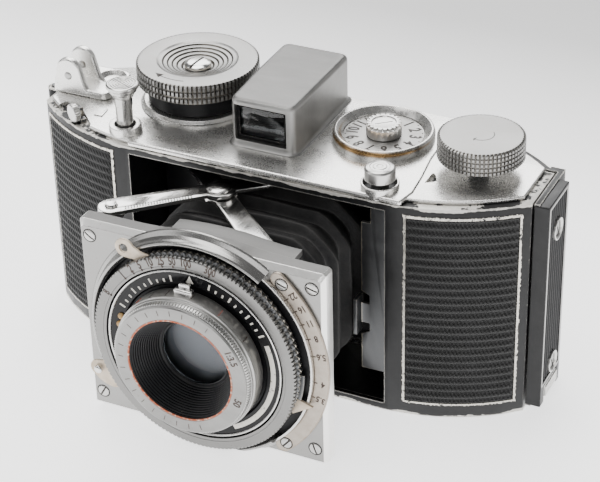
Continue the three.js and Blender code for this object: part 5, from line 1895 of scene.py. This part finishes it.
# ---- Bellows -------------------------------------------------------------

def make_bellows():
    """A folded bag of stepped pleats from the lens panel to the picture gate."""
    space = Place("bellows")
    pleats = 6
    front, back = space.y0, space.y1
    length = back - front
    bm = bmesh.new()
    rings = []
    stations = []
    for k in range(pleats):
        start = front + length * k / pleats
        pitch = length / pleats
        stations += [(start + 0.02 * pitch, 1.0), (start + 0.12 * pitch, 0.06), (start + 0.20 * pitch, 0.0),
                     (start + 0.55 * pitch, 0.30), (start + 0.88 * pitch, 0.72)]
    stations.append((back, 1.0))
    for y, inward in stations:
        t = (y - front) / length
        depth = 3.4 * inward
        half_w = 20.4 + (space.x1 - 20.4 - 0.15) * t - depth
        half_h = space.z1 - LZ - 0.1 - depth
        corner = 3.0 + 3.6 * (1 - inward)
        outline = rounded_rectangle(-half_w, half_w, LZ - half_h, LZ + half_h, corner, 1)
        outline = subdivided(outline, 12)
        ring = []
        for x, z in outline:
            sag = 0.28 * math.sin(x * 0.31 + y * 0.9) * math.sin(z * 0.27 - y * 0.7)
            away = Vector((x, z - LZ)).normalized() * (min(sag, 0.05) - 0.1)
            ring.append(bm.verts.new((x + away.x, y + 0.5 * sag, z + away.y)))
        rings.append(ring)
    for first, second in zip(rings, rings[1:]):
        for i in range(len(first)):
            j = (i + 1) % len(first)
            bm.faces.new([first[i], first[j], second[j], second[i]])
    bag = make_object("bellows_bag", bm, 180)
    thick = bag.modifiers.new("cloth", "SOLIDIFY")
    thick.thickness = 0.0005
    thick.offset = -1
    rounding = bag.modifiers.new("round", "SUBSURF")
    rounding.levels = 1
    rounding.render_levels = 1
    mesh = bpy.data.meshes.new_from_object(bag.evaluated_get(bpy.context.evaluated_depsgraph_get()))
    bag.modifiers.clear()
    bag.data = mesh
    finish_piece(bag, "camera_body", "bellows_cloth", CLOTH, "bellows")
    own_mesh(bag)


def subdivided(outline, count):
    """Splits an outline's four straight runs into that many parts."""
    result = []
    for (x0, y0), (x1, y1) in zip(outline, outline[1:] + outline[:1]):
        parts = count if math.hypot(x1 - x0, y1 - y0) > 10 else 1
        result += [(x0 + (x1 - x0) * k / parts, y0 + (y1 - y0) * k / parts) for k in range(parts)]
    return result


make_bellows()


# ---- Struts --------------------------------------------------------------

STRUT_LENGTH = 47.2
STRUT_HALF = 2.9
STRUT_RUN = 31.6  # depth between the two ends of an arm when the panel is out


def strut_outline(middle_radius, tail_half):
    """A strip with round ends, widened round its middle rivet."""
    middle = STRUT_LENGTH / 2
    outline = arc_points(0, 0, STRUT_HALF, 90, 270, 20)
    flank = math.degrees(math.asin(STRUT_HALF * 0.8 / middle_radius))
    outline += arc_points(middle, 0, middle_radius, 180 + flank, 360 - flank, 24)
    outline += arc_points(STRUT_LENGTH, 0, tail_half, -90, 90, 20)
    outline += arc_points(middle, 0, middle_radius, flank, 180 - flank, 24)
    return outline


def strut_place(joint_name, sign, mirror):
    """Places points of an arm: u along it from its pivot, v across it and w upwards.

    sign is the side it leans to, and mirror turns it over for the pair under the lens.
    """
    joint = next(j for j in frame["joints"] if j["name"] == joint_name)
    x, y = joint["pos_m"][0] / MM, joint["pos_m"][1] / MM
    angle = math.asin(STRUT_RUN / STRUT_LENGTH) * sign
    c, s = math.cos(angle), math.sin(angle)

    def place(u, v, w):
        z = 2 * LZ - w if mirror else w
        return (x + u * c - v * s, y + u * s + v * c, z)
    return place


def make_strut_front(prefix, mirror):
    """A strut arm that turns on the lens panel."""
    node = prefix + "_strut_front"
    body = prefix + "_front_arm"
    place = strut_place(prefix + "_front_arm_turn", 1, mirror)
    low, high = 47.2, 48.2
    outline = strut_outline(3.85, STRUT_HALF)
    arm = slab(node + "_strip", [outline, circle_points(0, 0, 1.3, 24)], low, high, place, 0.16, 2)
    finish_piece(arm, body, "bright_metal", BRIGHT, node)
    middle = STRUT_LENGTH / 2
    head = lathe(node + "_rivet", [
        (0, 45.6), (0.9, 45.6), (0.9, high - 0.2), (2.9, high), (2.85, high + 0.2), (2.2, high + 0.55),
        (1.1, high + 0.76), (0, high + 0.8),
    ], lambda r, h, a: place(middle + r * math.cos(a), r * math.sin(a), h), smooth_angles(64), 0.12)
    finish_piece(head, body, "bright_metal", BRIGHT)
    teeth = []
    for k in range(24):
        u = 2.6 + k * 0.62
        teeth.append(tooth(place, u, -STRUT_HALF + 0.05, high))
    finish_piece(joined(node + "_serration", teeth), body, "bright_metal", BRIGHT)


def tooth(place, u, v, high):
    """One pressed tooth on the strip's front edge."""
    bm = bmesh.new()
    base = [(u - 0.2, v + 0.35), (u + 0.2, v + 0.35), (u + 0.34, v + 1.5), (u - 0.06, v + 1.5)]
    low = [bm.verts.new(place(a, b, high - 0.05)) for a, b in base]
    top = [bm.verts.new(place(a * 0.4 + u * 0.6, b * 0.8 + (v + 0.9) * 0.2, high + 0.14)) for a, b in base]
    bm.faces.new(low)
    bm.faces.new(top)
    for i in range(4):
        j = (i + 1) % 4
        bm.faces.new([low[i], low[j], top[j], top[i]])
    return make_object("tooth", bm, 60, weld=1e-6)


def make_strut_back(prefix, mirror):
    """A strut arm that turns on the body."""
    node = prefix + "_strut_back"
    body = prefix + "_back_arm"
    place = strut_place(prefix + "_back_arm_turn", -1, mirror)
    outline = strut_outline(3.85, STRUT_HALF)
    middle = STRUT_LENGTH / 2
    arm = slab(node + "_strip", [outline, circle_points(0, 0, 1.3, 24), circle_points(middle, 0, 2, 24)],
               46.0, 47.0, place, 0.16, 2)
    finish_piece(arm, body, "bright_metal", BRIGHT, node)


for prefix, mirror in (("upper", False), ("lower", True)):
    make_strut_front(prefix, mirror)
    make_strut_back(prefix, mirror)


# ---- Floor, light and camera ---------------------------------------------

def make_floor():
    """A pale seamless sweep, curving up behind the camera body.

    It gives off light of its own, a painted glow, and both that and its colour fall towards the back as
    painted shade.
    """
    bm = bmesh.new()
    rows = []
    for k in range(41):
        t = k / 40
        if t < 0.5:
            y, z = -2.2 + 5.6 * t, 0.0
        else:
            a = (t - 0.5) * math.pi
            y, z = 0.6 + 1.6 * math.sin(a), 1.6 * (1 - math.cos(a))
        rows.append([bm.verts.new((x, y, z)) for x in (-4, 4)])
    for low, high in zip(rows, rows[1:]):
        bm.faces.new([low[0], low[1], high[1], high[0]])
    mesh = bpy.data.meshes.new("floor")
    bm.to_mesh(mesh)
    bm.free()
    mesh.polygons.foreach_set("use_smooth", [True] * len(mesh.polygons))
    floor = bpy.data.objects.new("floor", mesh)
    bpy.context.scene.collection.objects.link(floor)
    n = Nodes("painted_glow_floor")
    mottle = n.noise(30, 4)
    parts = n.add("ShaderNodeSeparateXYZ")
    n.link(n.coords, parts.inputs[0])
    # Painted fall-off of light: colour and glow both drop towards the back.
    depth = n.ramp(n.math("ADD", n.math("MULTIPLY", parts.outputs["Y"], 2.4), 0.25),
                   [(0.2, 0.93), (0.42, 0.86), (0.66, 0.36), (1.0, 0.2)])
    n.set(Base_Color=n.mix(n.math("MULTIPLY", mottle, 0.06), depth, (0.8, 0.8, 0.8)))
    n.set(Roughness=n.ramp(mottle, [(0.3, 0.75), (0.7, 0.85)]))
    n.set(Emission_Color=depth, Emission_Strength=2.0)
    floor.data.materials.append(n.material)


def area_light(name, location, target, size, power, colour=(1, 1, 1)):
    """A rectangular light aimed at a point."""
    data = bpy.data.lights.new(name, "AREA")
    data.shape = "RECTANGLE"
    data.size, data.size_y = size
    data.energy = power
    data.color = colour
    light = bpy.data.objects.new(name, data)
    light.location = location
    light.rotation_euler = (Vector(target) - Vector(location)).to_track_quat("-Z", "Y").to_euler()
    bpy.context.scene.collection.objects.link(light)


def make_lights():
    """Soft area lights and a dim, even surround."""
    target = (0, -0.01, 0.03)
    area_light("overhead", (-0.2, 0.1, 0.85), target, (0.7, 0.45), 6.5, (1.0, 0.99, 0.975))
    area_light("backdrop", (-0.55, 1.15, 0.95), target, (1.3, 0.7), 17.0)
    area_light("left_front", (-0.75, -0.45, 0.5), target, (0.5, 0.6), 1.9)
    area_light("front_floor", (0.15, -0.75, 0.55), (0.05, -0.35, 0.0), (0.6, 0.4), 2.2)
    area_light("right_fill", (0.9, -0.1, 0.3), target, (0.4, 0.5), 1.6, (1.0, 0.98, 0.95))
    world = bpy.data.worlds.new("studio")
    world.use_nodes = True
    background = world.node_tree.nodes["Background"]
    background.inputs["Color"].default_value = (0.86, 0.87, 0.88, 1)
    background.inputs["Strength"].default_value = 0.2
    bpy.context.scene.world = world


def make_camera():
    """The picture's view: a long lens from the front right, a little above."""
    data = bpy.data.cameras.new("camera")
    data.lens = 118.6
    data.sensor_width = 36
    view = bpy.data.objects.new("camera", data)
    right = Vector((0.90311, 0.42886, -0.02173))
    up = Vector((-0.21006, 0.48536, 0.84871))
    forward = Vector((-0.37452, 0.76191, -0.52842))
    axes = Matrix((right, up, -forward)).transposed().to_4x4()
    view.matrix_world = Matrix.Translation((0.168755, -0.340461, 0.261698)) @ axes
    bpy.context.scene.collection.objects.link(view)
    bpy.context.scene.camera = view


make_floor()
make_lights()
make_camera()
